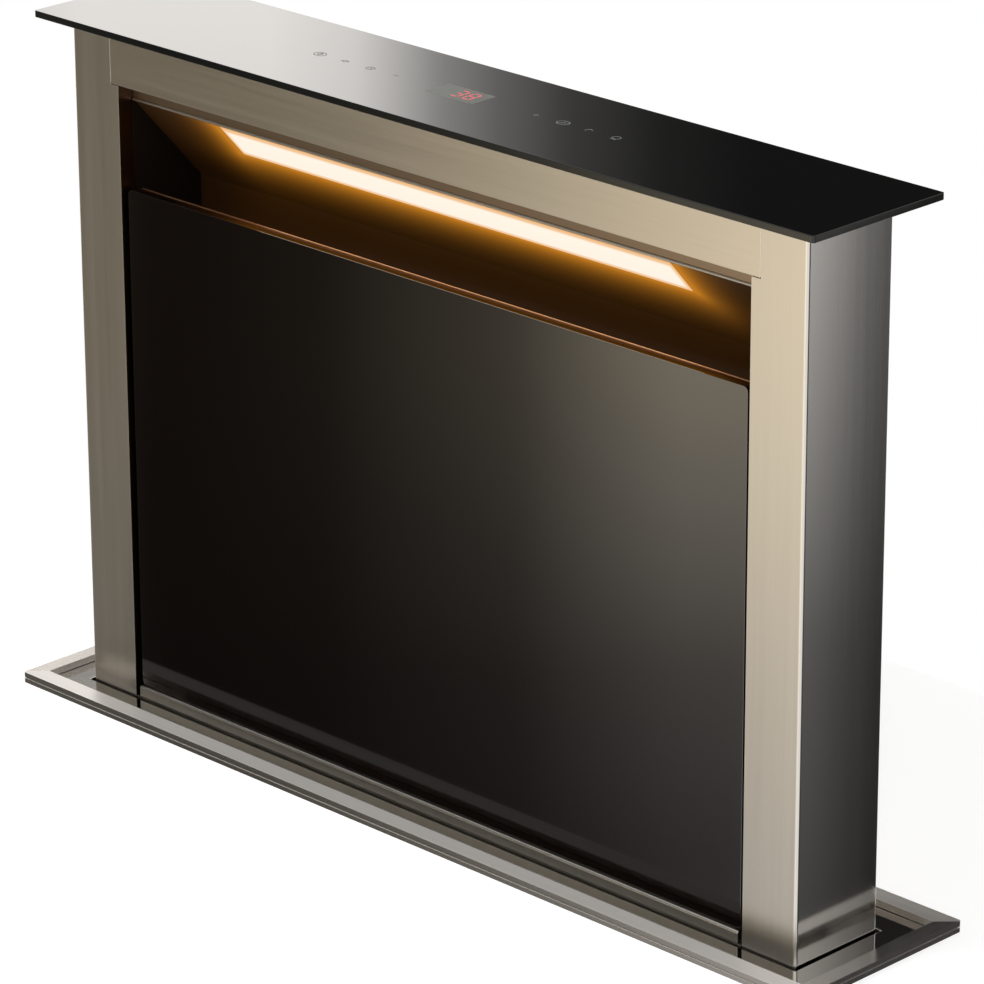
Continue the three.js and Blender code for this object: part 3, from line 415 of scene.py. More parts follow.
def mottle_group():
    """Slow patches of tone and gloss, with a fine tooth for the height."""
    group, given, out = new_group(
        "mottle",
        {"Color": WHITE, "Roughness": 0.5, "Amount": 0.15, "Patch Scale": 14.0, "Tooth Scale": 900.0},
        ("Color", "Roughness", "Height"),
    )
    patch = noise(group, given["Vector"], given["Patch Scale"], 3.0)
    tooth = noise(group, given["Vector"], given["Tooth Scale"])
    centred = calc(group, "SUBTRACT", patch, 0.5)
    put_out(group, given, out, calc(group, "MULTIPLY", centred, given["Amount"]))
    group.links.new(tooth, out["Height"])
    return group


def spangle_group():
    """Zinc crystals of galvanised sheet, large ones with small ones between."""
    group, given, out = new_group(
        "zinc spangle", {"Color": WHITE, "Roughness": 0.4, "Amount": 0.2}, ("Color", "Roughness"),
    )
    swings = []
    for scale, share in ((170, 1.0), (60, 0.5)):
        crystals = group.nodes.new("ShaderNodeTexVoronoi")
        crystals.inputs["Scale"].default_value = scale
        group.links.new(given["Vector"], crystals.inputs["Vector"])
        pick = group.nodes.new("ShaderNodeSeparateColor")
        group.links.new(crystals.outputs["Color"], pick.inputs["Color"])
        centred = calc(group, "SUBTRACT", pick.outputs["Red"], 0.5)
        swings.append(calc(group, "MULTIPLY", centred, share))
    both = calc(group, "ADD", *swings)
    put_out(group, given, out, calc(group, "MULTIPLY", both, given["Amount"]))
    return group


def light_falloff_group():
    """How far a point lies from the light bar, as a colour that dies away from near to far."""
    group, given, out = new_group("light bar falloff", {
        "Half Length": 0.1725, "Half Width": 0.0135, "Reach": 0.02, "Near Color": WHITE, "Far Color": BLACK,
    }, ("Color",))
    x, y, z = split_axes(group, given["Vector"])
    beyond = calc(group, "SUBTRACT", calc(group, "ABSOLUTE", x), given["Half Length"])
    span = calc(group, "SUBTRACT", hypotenuse(group, y, z), given["Half Width"])
    outside = [calc(group, "MAXIMUM", length, 0.0) for length in (beyond, span)]
    distance = calc(group, "DIVIDE", hypotenuse(group, *outside), given["Reach"])
    euler = 2.718
    glow = calc(group, "POWER", euler, calc(group, "MULTIPLY", distance, -1.0))
    group.links.new(mix_colors(group, glow, given["Far Color"], given["Near Color"]), out["Color"])
    return group


def mesh_group():
    """Crossed wires of an expanded mesh, as colour and height. They repeat at each pi of the vector."""
    group, given, out = new_group(
        "metal mesh", {"Wire Color": WHITE, "Gap Color": BLACK}, ("Color", "Height"),
    )
    x, y, z = split_axes(group, given["Vector"])
    waves = []
    for operation in ("ADD", "SUBTRACT"):
        run = calc(group, operation, x, z)
        waves.append(calc(group, "ABSOLUTE", calc(group, "SINE", run)))
    wire = map_range(group, calc(group, "MINIMUM", *waves), 0.25, 0.5, 1.0, 0.0)
    group.links.new(mix_colors(group, wire, given["Gap Color"], given["Wire Color"]), out["Color"])
    group.links.new(wire, out["Height"])
    return group


grain = grain_group()
mottle = mottle_group()
spangle = spangle_group()
light_falloff = light_falloff_group()
metal_mesh = mesh_group()


# ---------------------------- materials

# Brushed grain is scaled by these two across and along its lines. Heights are in metres.
grain_across, grain_along = 1300, 18
grain_height = 0.00002
tooth_height = 0.00004
light_centre = (0, -0.01, 0.356)
trim_inner_x, trim_inner_y = 0.30025, 0.0527


def new_material(name, color, metallic, roughness, specular=0.5):
    material = bpy.data.materials.new(name)
    material.use_nodes = True
    shader = material.node_tree.nodes["Principled BSDF"]
    shader.inputs["Base Color"].default_value = (*color, 1)
    shader.inputs["Metallic"].default_value = metallic
    shader.inputs["Roughness"].default_value = roughness
    shader.inputs["Specular IOR Level"].default_value = specular
    return material, material.node_tree, shader


def object_vector(tree):
    return tree.nodes.new("ShaderNodeTexCoord").outputs["Object"]


def place_group(tree, group, values, scale=None, centre=None):
    """Puts a group in a material on Object coordinates, centred and stretched."""
    vector = object_vector(tree)
    if centre:
        vector = mapped(tree, vector, "Location", tuple(-part for part in centre))
    if scale:
        vector = mapped(tree, vector, "Scale", scale)
    node = tree.nodes.new("ShaderNodeGroup")
    node.node_tree = group
    tree.links.new(vector, node.inputs["Vector"])
    for label, value in values.items():
        feed(tree, value, node.inputs[label])
    return node


def bump(tree, shader, height, distance, strength=1.0):
    node = tree.nodes.new("ShaderNodeBump")
    node.inputs["Distance"].default_value = distance
    node.inputs["Strength"].default_value = strength
    tree.links.new(height, node.inputs["Height"])
    tree.links.new(node.outputs["Normal"], shader.inputs["Normal"])


def surface(name, group, color, metallic, roughness, values, scale=None, specular=0.5):
    """A material that takes its colour and roughness from a group."""
    material, tree, shader = new_material(name, color, metallic, roughness, specular)
    node = place_group(tree, group, {"Color": color, "Roughness": roughness, **values}, scale)
    tree.links.new(node.outputs["Color"], shader.inputs["Base Color"])
    tree.links.new(node.outputs["Roughness"], shader.inputs["Roughness"])
    return material, tree, shader, node


def brushed(name, color, roughness, axis, amount=0.1, depth=0.5):
    """Brushed metal with its lines along X, Y or Z."""
    scale = [grain_across] * 3
    scale["XYZ".index(axis)] = grain_along
    material, tree, shader, node = surface(name, grain, color, 1.0, roughness, {"Grain": amount}, scale)
    bump(tree, shader, node.outputs["Height"], grain_height, depth)
    return material


def mitred_trim(name, color, roughness):
    """Brushed along each rim of the frame, meeting on the mitres. Only the front rim is satin, and its
    colour is painted darker where glossy rays see it, a painted shade on its reflections."""
    material, tree, shader = new_material(name, color, 1.0, roughness)
    rims = []
    for scale, share in (((grain_along, grain_across, grain_across), 1),
                         ((grain_across, grain_along, grain_across), 0.55)):
        values = {"Color": color, "Roughness": share * roughness, "Grain": 0.1}
        rims.append(place_group(tree, grain, values, scale))
    x, y, z = split_axes(tree, object_vector(tree))
    past_x = calc(tree, "SUBTRACT", calc(tree, "ABSOLUTE", x), trim_inner_x)
    past_y = calc(tree, "SUBTRACT", calc(tree, "ABSOLUTE", y), trim_inner_y)
    on_short = calc(tree, "GREATER_THAN", past_x, past_y)
    mixed, gloss, height = [
        mix_colors(tree, on_short, *(rim.outputs[label] for rim in rims))
        for label in ("Color", "Roughness", "Height")
    ]
    polished = calc(tree, "MAXIMUM", on_short, calc(tree, "GREATER_THAN", y, 0.0))
    path = tree.nodes.new("ShaderNodeLightPath")
    satin = map_range(tree, polished, 0, 1, 1, 0)
    # Painted shade on reflections: glossy rays see the front rim's colour at 0.3 of itself.
    reflection_shade_mask = calc(tree, "MULTIPLY", path.outputs["Is Glossy Ray"], satin)
    shaded_in_reflections = tint(tree, mixed, map_range(tree, reflection_shade_mask, 0, 1, 1.0, 0.3))
    tree.links.new(shaded_in_reflections, shader.inputs["Base Color"])
    tree.links.new(gloss, shader.inputs["Roughness"])
    tree.links.new(map_range(tree, polished, 0, 1, 0.3, 1), shader.inputs["Metallic"])
    bump(tree, shader, height, grain_height, 0.4)
    return material


def mottled(name, color, roughness, amount, patch=14.0, tooth=900.0, metallic=0.0, depth=tooth_height,
            specular=0.5):
    """Paint, plastic, glass or plain metal. Without a depth it has no tooth."""
    values = {"Amount": amount, "Patch Scale": patch, "Tooth Scale": tooth}
    material, tree, shader, node = surface(name, mottle, color, metallic, roughness, values, None, specular)
    if depth:
        bump(tree, shader, node.outputs["Height"], depth)
    return material


def liner_with_painted_glow(name, color, near, far):
    """Dark bronze paint with a painted glow where the light bar is near, standing in for the bar's light on
    it.
    """
    material, tree, shader, node = surface(name, mottle, color, 0.1, 0.42, {"Amount": 0.15})
    glow = place_group(tree, light_falloff, {
        "Near Color": near, "Far Color": far, "Reach": 0.0115, "Half Length": 0.176,
    }, centre=light_centre)
    # This emission is painted light: a glow of the light bar's light on the liner, dying away with distance.
    tree.links.new(glow.outputs["Color"], shader.inputs["Emission Color"])
    shader.inputs["Emission Strength"].default_value = 1.0
    return material


def lit(name, color, seen, cast, rim=None):
    """Plastic lit from behind. It looks softer than the light it gives, and rim colours its edge."""
    material, tree, shader = new_material(name, (0.1, 0.1, 0.1), 0.0, 0.4)
    if rim:
        node = place_group(tree, light_falloff, {
            "Near Color": color, "Far Color": rim,
            "Reach": 0.0022, "Half Length": 0.1690, "Half Width": 0.0092,
        }, centre=light_centre)
    else:
        node = place_group(tree, mottle, {"Color": color, "Amount": 0.04, "Patch Scale": 30.0})
    tree.links.new(node.outputs["Color"], shader.inputs["Emission Color"])
    path = tree.nodes.new("ShaderNodeLightPath")
    strength = map_range(tree, path.outputs["Is Camera Ray"], 0, 1, cast, seen)
    tree.links.new(strength, shader.inputs["Emission Strength"])
    return material


def mesh_sheet(name, wire, gap, pitch, height):
    material, tree, shader = new_material(name, wire, 0.9, 0.4)
    node = place_group(tree, metal_mesh, {"Wire Color": wire, "Gap Color": gap}, (math.pi / pitch,) * 3)
    tree.links.new(node.outputs["Color"], shader.inputs["Base Color"])
    bump(tree, shader, node.outputs["Height"], height)
    return material


steel_upright = brushed("steel brushed upright", (0.70, 0.665, 0.61), 0.30, "Z")
steel_level = brushed("steel brushed level", (0.70, 0.652, 0.585), 0.30, "X")
steel_return = brushed("steel side face", (0.66, 0.65, 0.635), 0.11, "Z", 0.05, 0.12)
trim_steel = mitred_trim("trim steel", (0.84, 0.805, 0.765), 0.32)
# The trim's upright faces are darker than its top: a painted shade.
trim_side_painted_shade = brushed("trim steel with painted side shade", (0.50, 0.48, 0.46), 0.25, "X", 0.08)
pan_steel = brushed("polished pan steel", (0.66, 0.64, 0.61), 0.08, "X", 0.05)
bar_steel = brushed("drawn bar steel", (0.55, 0.56, 0.57), 0.3, "Z")
zinc = surface("galvanised sheet", spangle, (0.62, 0.63, 0.63), 1.0, 0.44, {"Amount": 0.1})[0]
zinc_plate = mottled("zinc plated steel", (0.60, 0.61, 0.60), 0.32, 0.1, 40.0, 1800.0, 1.0)
top_glass = mottled("black top glass", (0.006, 0.006, 0.006), 0.04, 0.02, 6.0, 400.0, depth=0, specular=0.6)
glass_edge = mottled("polished glass edge", (0.008, 0.0085, 0.008), 0.14, 0.1, 60.0, 400.0, depth=0)
front_glass = mottled("bronze front glass", (0.003, 0.001, 0.0006), 0.09, 0.05, 4.0, 400.0, depth=0)
front_glass_inputs = front_glass.node_tree.nodes["Principled BSDF"].inputs
front_glass_inputs["IOR"].default_value = 1.9
front_glass_inputs["Coat Weight"].default_value = 0.8
# Dark bronze liner paint with a painted glow of the light bar's light near the bar.
liner_painted_glow = liner_with_painted_glow(
    "bronze liner with painted glow", (0.032, 0.012, 0.002), (0.52, 0.19, 0.012), (0.004, 0.0013, 0.0001),
)
lip_steel = brushed("bronze lip steel", (0.30, 0.225, 0.165), 0.34, "X")
tray_bronze = brushed("bronze tray", (0.12, 0.055, 0.022), 0.34, "X", 0.08)
hem_copper = brushed("copper hem", (0.62, 0.36, 0.20), 0.32, "X", 0.08)
# The riser steel's inner returns inside the slot in dark warm bronze: a painted shade.
return_painted_shade = brushed("inner return with painted shade", (0.085, 0.05, 0.03), 0.3, "Z", 0.08)
duct_paint = mottled("dark duct paint", (0.006, 0.0035, 0.0018), 0.42, 0.15, specular=0.3)
aluminium = brushed("mill aluminium", (0.72, 0.73, 0.74), 0.36, "X", 0.06)
filter_frame = brushed("filter aluminium", (0.52, 0.53, 0.54), 0.42, "Z")
filter_mesh = mesh_sheet("expanded filter mesh", (0.50, 0.51, 0.52), (0.03, 0.03, 0.03), 0.0045, 0.0006)
black_plastic = mottled("moulded black", (0.018, 0.018, 0.019), 0.5, 0.1, 30.0, 1600.0)
white_plastic = mottled("moulded white", (0.68, 0.67, 0.63), 0.45, 0.06, 30.0, 1600.0)
grey_plastic = mottled("magnet grey", (0.10, 0.105, 0.11), 0.5, 0.1, 30.0, 1600.0)
circuit_green = mottled("circuit board", (0.012, 0.065, 0.034), 0.4, 0.25, 120.0, 700.0)
brass = mottled("machined brass", (0.60, 0.43, 0.17), 0.28, 0.1, 60.0, 2500.0, 1.0)
motor_enamel = mottled("black enamel", (0.030, 0.032, 0.034), 0.38, 0.1, 25.0, 900.0, 0.2)
rubber = mottled("belt rubber", (0.013, 0.013, 0.013), 0.7, 0.2, 60.0, 1200.0)
window_grey = mottled("display window", (0.046, 0.054, 0.041), 0.3, 0.15, 60.0, 600.0, depth=0, specular=0.3)
print_grey = mottled("printed grey", (0.22, 0.23, 0.21), 0.6, 0.1, 60.0, 900.0, depth=0)
led_opal = lit("lit opal diffuser", (1.0, 0.88, 0.75), 0.98, 2.6, (0.80, 0.40, 0.10))
led_red = lit("lit red segments", (1.0, 0.010, 0.028), 0.72, 0.6)

# By material slot, for the solids that no function below dresses.
finish_of = {
    "steel": steel_upright, "polished_steel": pan_steel, "galvanised": zinc, "dark_liner": duct_paint,
    "bronze_glass": front_glass, "aluminium": aluminium, "light": led_opal, "circuit": circuit_green,
    "display": window_grey, "black_plastic": black_plastic, "white_plastic": white_plastic,
    "brass": brass, "screw_steel": bar_steel, "motor_paint": motor_enamel, "magnet_grey": grey_plastic,
}


# ---------------------------- stage

EVEN = ((0, 1), (1, 1))


def floor_material():
    """Pale matt worktop that shows as near white and keeps the object's shadow."""
    material, tree, shader = new_material("pale worktop", (0.8, 0.8, 0.8), 0.0, 0.9, 0.0)
    path = tree.nodes.new("ShaderNodeLightPath")
    seen = calc(tree, "ADD", path.outputs["Is Camera Ray"], path.outputs["Is Glossy Ray"])
    tree.links.new(calc(tree, "MULTIPLY", seen, 0.5), shader.inputs["Emission Strength"])
    shader.inputs["Emission Color"].default_value = WHITE
    return material


def add_worktop():
    slab = block("worktop", (-520, -440, -38), (520, 320, 0), floor_material())
    cut(slab, block("worktop cut-out", (-306.5, -60.5, -100), (306.5, 60.5, 100)))
    slab.visible_shadow = slab.visible_glossy = False


def add_world():
    world = bpy.data.worlds.new("studio")
    bpy.context.scene.world = world
    world.use_nodes = True
    tree = world.node_tree
    back = tree.nodes["Background"]
    path = tree.nodes.new("ShaderNodeLightPath")
    seen = calc(tree, "ADD", path.outputs["Is Camera Ray"], path.outputs["Is Glossy Ray"])
    seen = calc(tree, "ADD", seen, path.outputs["Is Transmission Ray"])
    back.inputs["Color"].default_value = WHITE
    tree.links.new(map_range(tree, seen, 0, 1, 0.45, 1.0), back.inputs["Strength"])


def ramp_of(tree, source, stops):
    ramp = tree.nodes.new("ShaderNodeValToRGB")
    ramp.color_ramp.interpolation = "EASE" if len(stops) == 2 else "LINEAR"
    while len(ramp.color_ramp.elements) < len(stops):
        ramp.color_ramp.elements.new(0.5)
    for element, (position, grey) in zip(ramp.color_ramp.elements, stops):
        element.position = position
        element.color = (grey, grey, grey, 1)
    tree.links.new(source, ramp.inputs["Fac"])
    return ramp.outputs["Color"]


def card(name, centre, facing, width, height, color, layers, low_color=None):
    """A studio card that only reflections see. A layer is a strength with its across and up ramps.
    Its sides and foot fade into the white of the room. low_color tints its lower part."""
    bpy.ops.mesh.primitive_plane_add(size=1)
    piece = bpy.context.object
    piece.name = name
    piece.scale = (width, height, 1)
    settle(piece)
    piece.rotation_mode = "QUATERNION"
    piece.rotation_quaternion = Vector(facing).to_track_quat("Z", "Y")
    piece.location = centre
    material = bpy.data.materials.new(name)
    material.use_nodes = True
    tree = material.node_tree
    tree.nodes.remove(tree.nodes["Principled BSDF"])
    glow = tree.nodes.new("ShaderNodeEmission")
    x, y, z = split_axes(tree, object_vector(tree))
    across = map_range(tree, x, -width / 2, width / 2, 0, 1)
    up = map_range(tree, y, -height / 2, height / 2, 0, 1)
    aside = calc(tree, "MULTIPLY", calc(tree, "ABSOLUTE", x), 2 / width)
    below = calc(tree, "MULTIPLY", y, -2 / height)
    border = map_range(tree, calc(tree, "MAXIMUM", aside, below), 0.66, 1, 0, 1, "SMOOTHSTEP")
    total = None
    for strength, across_stops, up_stops in layers:
        layer = calc(tree, "MULTIPLY", ramp_of(tree, across, across_stops), ramp_of(tree, up, up_stops))
        layer = calc(tree, "MULTIPLY", layer, strength)
        total = layer if total is None else calc(tree, "ADD", total, layer)
    tree.links.new(calc(tree, "ADD", total, border), glow.inputs["Strength"])
    glow.inputs["Color"].default_value = (*color, 1)
    if low_color:
        rise = map_range(tree, up, 0.36, 0.56, 0, 1)
        tree.links.new(mix_colors(tree, rise, low_color, color), glow.inputs["Color"])
    tree.links.new(glow.outputs["Emission"], tree.nodes["Material Output"].inputs["Surface"])
    paint(piece, material)
    piece.visible_camera = piece.visible_diffuse = False
    piece.visible_shadow = piece.visible_transmission = False


def lamp(name, spot, target, size, power):
    data = bpy.data.lights.new(name, "AREA")
    data.shape = "RECTANGLE"
    data.size, data.size_y = size
    data.energy = power
    light = bpy.data.objects.new(name, data)
    light.location = spot
    light.rotation_mode = "QUATERNION"
    light.rotation_quaternion = (Vector(spot) - Vector(target)).to_track_quat("Z", "Y")
    light.visible_glossy = False
    bpy.context.scene.collection.objects.link(light)


def add_studio():
    card("front card", (-0.99, -1.03, -0.34), (0.66, 0.66, 0.357), 2.6, 1.9, (1, 0.88, 0.67), [
        (0.012, EVEN, EVEN),
        (0.24, ((0.597, 0), (0.64, 1)), EVEN),
        (0.8, ((0.36, 1), (0.41, 0)), ((0.30, 1), (0.62, 0.55))),
        (1.2, ((0.34, 0.92), (0.40, 0.92), (0.425, 0.95), (0.478, 0.2), (0.54, 0.03), (0.6, 0)),
         ((0.34, 0.12), (0.42, 0.25), (0.56, 1), (0.66, 1), (0.76, 0.35))),
    ], (1, 0.96, 0.92))
    card("front upper card", (-1.15, -1.2, 1.15), (0.66, 0.66, -0.45), 2.8, 1.3, (1, 0.96, 0.9), [
        (0.2, ((0, 1), (0.6, 0.25), (1, 0.15)), EVEN),
    ])
    card("right card", (1.28, 1.15, -0.35), (-1, 0, 0), 3.0, 2.8, (1, 0.97, 0.94), [
        (0.012, EVEN, EVEN),
        (0.85, ((0.488, 0), (0.522, 1), (0.545, 1), (0.57, 0)), ((0.36, 0.1), (0.47, 0.22), (0.6, 1))),
        (0.55, ((0.66, 0), (0.80, 1)), ((0.3, 0.5), (0.7, 1))),
    ])
    card("rear card", (-1.35, 1.35, 1.02), (0.68, -0.68, -0.33), 3.0, 1.9, (1, 0.97, 0.93), [
        (0.015, EVEN, EVEN),
        (3.0, ((0.2, 0.5), (0.340, 0.76), (0.380, 1), (0.438, 1), (0.464, 0.84), (0.490, 0.30),
               (0.508, 0.15), (0.529, 0.05), (0.557, 0.01), (0.585, 0)),
         ((0.1, 0.08), (0.395, 0.12), (0.43, 1), (0.66, 1), (0.75, 0.4), (1, 0.3))),
        (2.4, ((0.45, 0), (0.50, 1), (0.575, 1), (0.61, 0)), ((0.05, 0), (0.12, 1), (0.36, 1), (0.41, 0))),
    ])
    lamp("key lamp", (-1.2, -1.6, 1.9), (0, 0, 0.1), (1.4, 1.4), 26)
    lamp("fill lamp", (1.9, -1.0, 1.2), (0, 0, 0), (1.4, 1.4), 12)
    lamp("low lamp", (-0.4, -2.2, -0.5), (0, 0, -0.3), (1.4, 1.0), 9)
    lamp("back lamp", (0.6, 2.0, 0.4), (0, 0, -0.1), (1.4, 1.4), 10)


# ---------------------------- riser

# In metres. A riser side's outer face lies beyond the first, its front return's inner face within the
# second. The lip begins above lip_low_z, the top of the glass above glass_rim_z.
side_outer_x, return_inner_x = 0.279, 0.2425
lip_low_z = 0.3684
glass_rim_z = 0.4140
rail_seam_x = 248.2


def riser_sides():
    for sign in (LEFT, RIGHT):
        name = f"riser_side_{SIDE[sign]}"
        side = dress(name, steel_upright, 0.25)
        paint_faces(side, steel_return,
                    lambda face: abs(face.normal.x) > 0.9 and abs(face.center.x) > side_outer_x)
        # Its inner returns, inside the slot, get a painted shade.
        paint_faces(side, return_painted_shade,
                    lambda face: abs(face.normal.x) > 0.9 and abs(face.center.x) < return_inner_x)
        seam = sign * rail_seam_x
        weld = block(f"rail_weld_{SIDE[sign]}", (seam - 0.6, -34.93, 378.4), (seam + 0.6, -33.9, 409.8),
                     steel_upright)
        ease_edges(weld, 0.1, 1)
        own(weld, name)


def glass_top():
    """The plate, its top lowered a little so that the prints stay inside the CAD box."""
    piece = copy_of("glass_top_plate")
    for vertex in piece.data.vertices:
        if vertex.co.z > glass_rim_z:
            vertex.co.z -= 0.05 * MM
    ease_edges(piece, 0.5, 3)
    paint(piece, top_glass)
    paint_faces(piece, glass_edge, lambda face: abs(face.normal.z) < 0.9)
    stand_for(piece, "glass_top_plate")


# Prints on the glass. The touch row lies at print_row, and their y is counted from there.
print_row = 2.4
print_low, print_high = 414.42, 414.5


def stroke(x, y, length, width, turn=0.0):
    """A printed stroke with its middle at x, y."""
    bpy.ops.mesh.primitive_cube_add(size=1)
    piece = bpy.context.object
    piece.scale = place(length, width, print_high - print_low)
    piece.rotation_euler = (0, 0, math.radians(turn))
    piece.location = place(x, print_row + y, (print_low + print_high) / 2)
    settle(piece)
    return piece


def oval(x, radius, width, stretch=1.0, sides=28):
    """A printed ring on the touch row, an oval where stretch is not 1."""
    bpy.ops.mesh.primitive_circle_add(vertices=sides, radius=radius * MM, fill_type="NGON")
    piece = bpy.context.object
    piece.scale = (stretch, 1, 1)
    piece.location = place(x, print_row, print_low)
    settle(piece)
    pick_faces(piece, lambda face: True)
    bpy.ops.mesh.inset(thickness=width * MM)
    bpy.ops.mesh.delete(type="FACE")
    bpy.ops.mesh.select_all(action="SELECT")
    raise_faces(print_high - print_low)
    leave_edit()
    mend_normals(piece)
    return piece


def touch_symbols():
    shapes = {
        "power": [oval(-114, 3.4, 0.55, 1.25), stroke(-114, 0.9, 0.6, 3.2), oval(-114, 1.7, 0.45, 1.1)],
        "fold": [stroke(-95.2, 0.6, 3.4, 0.5, 40), stroke(-92.8, -0.6, 3.4, 0.5, 40),
                 stroke(-95.4, -0.7, 2.6, 0.5), stroke(-92.6, 0.7, 2.6, 0.5)],
        "delay": [oval(-74, 2.8, 0.5, 1.15, 6), stroke(-74.4, 0.3, 2.0, 0.45, 50),
                  stroke(-73.4, 0.3, 2.0, 0.45, -50)],
        "minus": [stroke(-54, 0, 3.6, 0.6)],
        "plus": [stroke(53, 0, 3.4, 0.55), stroke(53, 0, 0.55, 3.4)],
        "fan": [oval(73, 3.4, 0.5, 1.25), oval(73, 1.2, 0.45), stroke(75.2, 1, 2.2, 0.5, 30),
                stroke(70.8, -1, 2.2, 0.5, 30)],
        "lamp": [stroke(91.4, 1.0, 2.6, 0.55, 50), stroke(93.4, 0.9, 2.4, 0.55, 160),
                 stroke(90.6, -1.2, 1.6, 0.5, 80)],
        "filter": [oval(112, 2.4, 0.5, 1.15), stroke(112, -2.9, 4.2, 0.45)],
    }
    for name, strokes in shapes.items():
        symbol = join(strokes, f"touch_symbol_{name}")
        paint(symbol, print_grey)
        own(symbol, "glass_top_plate")


def segment_digit(x, dark=()):
    """One seven-segment digit without its dark bars."""
    half, reach = 2.6, 5.2
    length, width = 4.2, 1.0
    bars = {
        "top": (0, reach), "middle": (0, 0), "bottom": (0, -reach),
        "upper_left": (-half, reach / 2), "upper_right": (half, reach / 2),
        "lower_left": (-half, -reach / 2), "lower_right": (half, -reach / 2),
    }
    strokes = []
    for label, (across, up) in bars.items():
        if label not in dark:
            size = (width, length) if across else (length, width)
            strokes.append(stroke(x + across, up, *size))
    return strokes


def display_window():
    window = block("display_window", (-22, -7.2, 414.41), (14, 11.9, 414.46), window_grey)
    ease_edges(window, 0.02, 1)
    own(window, "display_module")
    three, eight = segment_digit(-4.2, ("upper_left", "lower_left")), segment_digit(4.6)
    digits = join(three + eight, "display_digits")
    paint(digits, led_red)
    own(digits, "display_module")


def trim_frame():
    frame_piece = dress("worktop_frame", trim_steel)
    # Its upright faces get a painted shade, darker than the top.
    paint_faces(frame_piece, trim_side_painted_shade, lambda face: abs(face.normal.z) < 0.5)


def hem(name, node, radius, reach, y, z, finish):
    """A rolled hem along the edge of a sheet."""
    rod = cylinder(name, radius, (-reach, y, z), (reach, y, z), 16, finish)
    ease_edges(rod, 0.2, 1)
    own(rod, node)


def lit_slot():
    # The liner carries a painted glow of the light bar's light.
    liner = dress("intake_liner", liner_painted_glow, 0.2)
    paint_faces(liner, lip_steel, lambda face: face.normal.y < -0.9 and face.center.z > lip_low_z)
    hem("lip_hem", "intake_liner", 0.9, 241.6, -24.2, 367.9, steel_level)
    dress("glass_backing_tray", tray_bronze, 0.25)
    hem("tray_hem", "glass_backing_tray", 0.7, 236.2, -23.7, 315.3, hem_copper)


# ---------------------------- small fasteners, pointing up at the origin

def faces_up(face):
    return face.normal.z > 0.9


def pop_rivet():
    head = cylinder("pop rivet", 3.4, (0, 0, -0.3), (0, 0, 0.4), 16)
    pick_faces(head, faces_up)
    step_in(0.9, 0.6)
    step_in(1.2, -0.5)
    leave_edit()
    paint(head, zinc_plate)
    smooth(head, 40)
    return head


def hex_screw():
    washer = cylinder("hex screw", 5.0, (0, 0, -0.2), (0, 0, 0.7), 20)
    head = cylinder("hex head", 3.9, (0, 0, 0.6), (0, 0, 3.2), 6)
    pick_faces(head, faces_up)
    step_in(0.8, -0.5)
    leave_edit()
    screw = join([washer, head], "hex screw")
    ease_edges(screw, 0.15, 1)
    paint(screw, zinc_plate)
    return screw


def cross_screw():
    head = cylinder("cross screw", 3.1, (0, 0, -0.2), (0, 0, 1.5), 20)
    for half_x, half_y in ((1.8, 0.4), (0.4, 1.8)):
        cut(head, block("cross", (-half_x, -half_y, 0.7), (half_x, half_y, 3)))
    ease_edges(head, 0.2, 1)
    paint(head, zinc_plate)
    return head


def along(first, last, count):
    """count evenly spaced numbers from first to last."""
    return [first + (last - first) * step / (count - 1) for step in range(count)]


def beads(stem, node, columns, low, high, width, proud, normal):
    """Pressed upright half-round beads on a sheet, with round ends, one at each x, y."""
    for index, (x, y) in enumerate(columns):
        name = f"{stem}_bead_{index}"
        parts = [cylinder(name, width / 2, (x, y, low), (x, y, high), 28)]
        for z in (low, high):
            bpy.ops.mesh.primitive_uv_sphere_add(
                segments=28, ring_count=14, radius=width / 2 * MM, location=place(x, y, z),
            )
            settle(bpy.context.object)
            parts.append(bpy.context.object)
        ridge = join(parts, name)
        flatten = Matrix.Scale(2 * proud / width, 4, Vector(normal))
        middle = Matrix.Translation(place(x, y, low))
        ridge.data.transform(middle @ flatten @ middle.inverted())
        paint(ridge, zinc)
        smooth(ridge, 60)
        own(ridge, node)


def ring(name, radius, thickness, centre, axis, finish, node, sides=64):
    bpy.ops.mesh.primitive_torus_add(
        major_segments=sides, minor_segments=10, major_radius=radius * MM, minor_radius=thickness * MM,
        location=place(*centre),
    )
    hoop = bpy.context.object
    hoop.name = name
    hoop.rotation_mode = "QUATERNION"
    hoop.rotation_quaternion = Vector(axis).to_track_quat("Z", "Y")
    settle(hoop)
    paint(hoop, finish)
    smooth(hoop, 60)
    own(hoop, node)


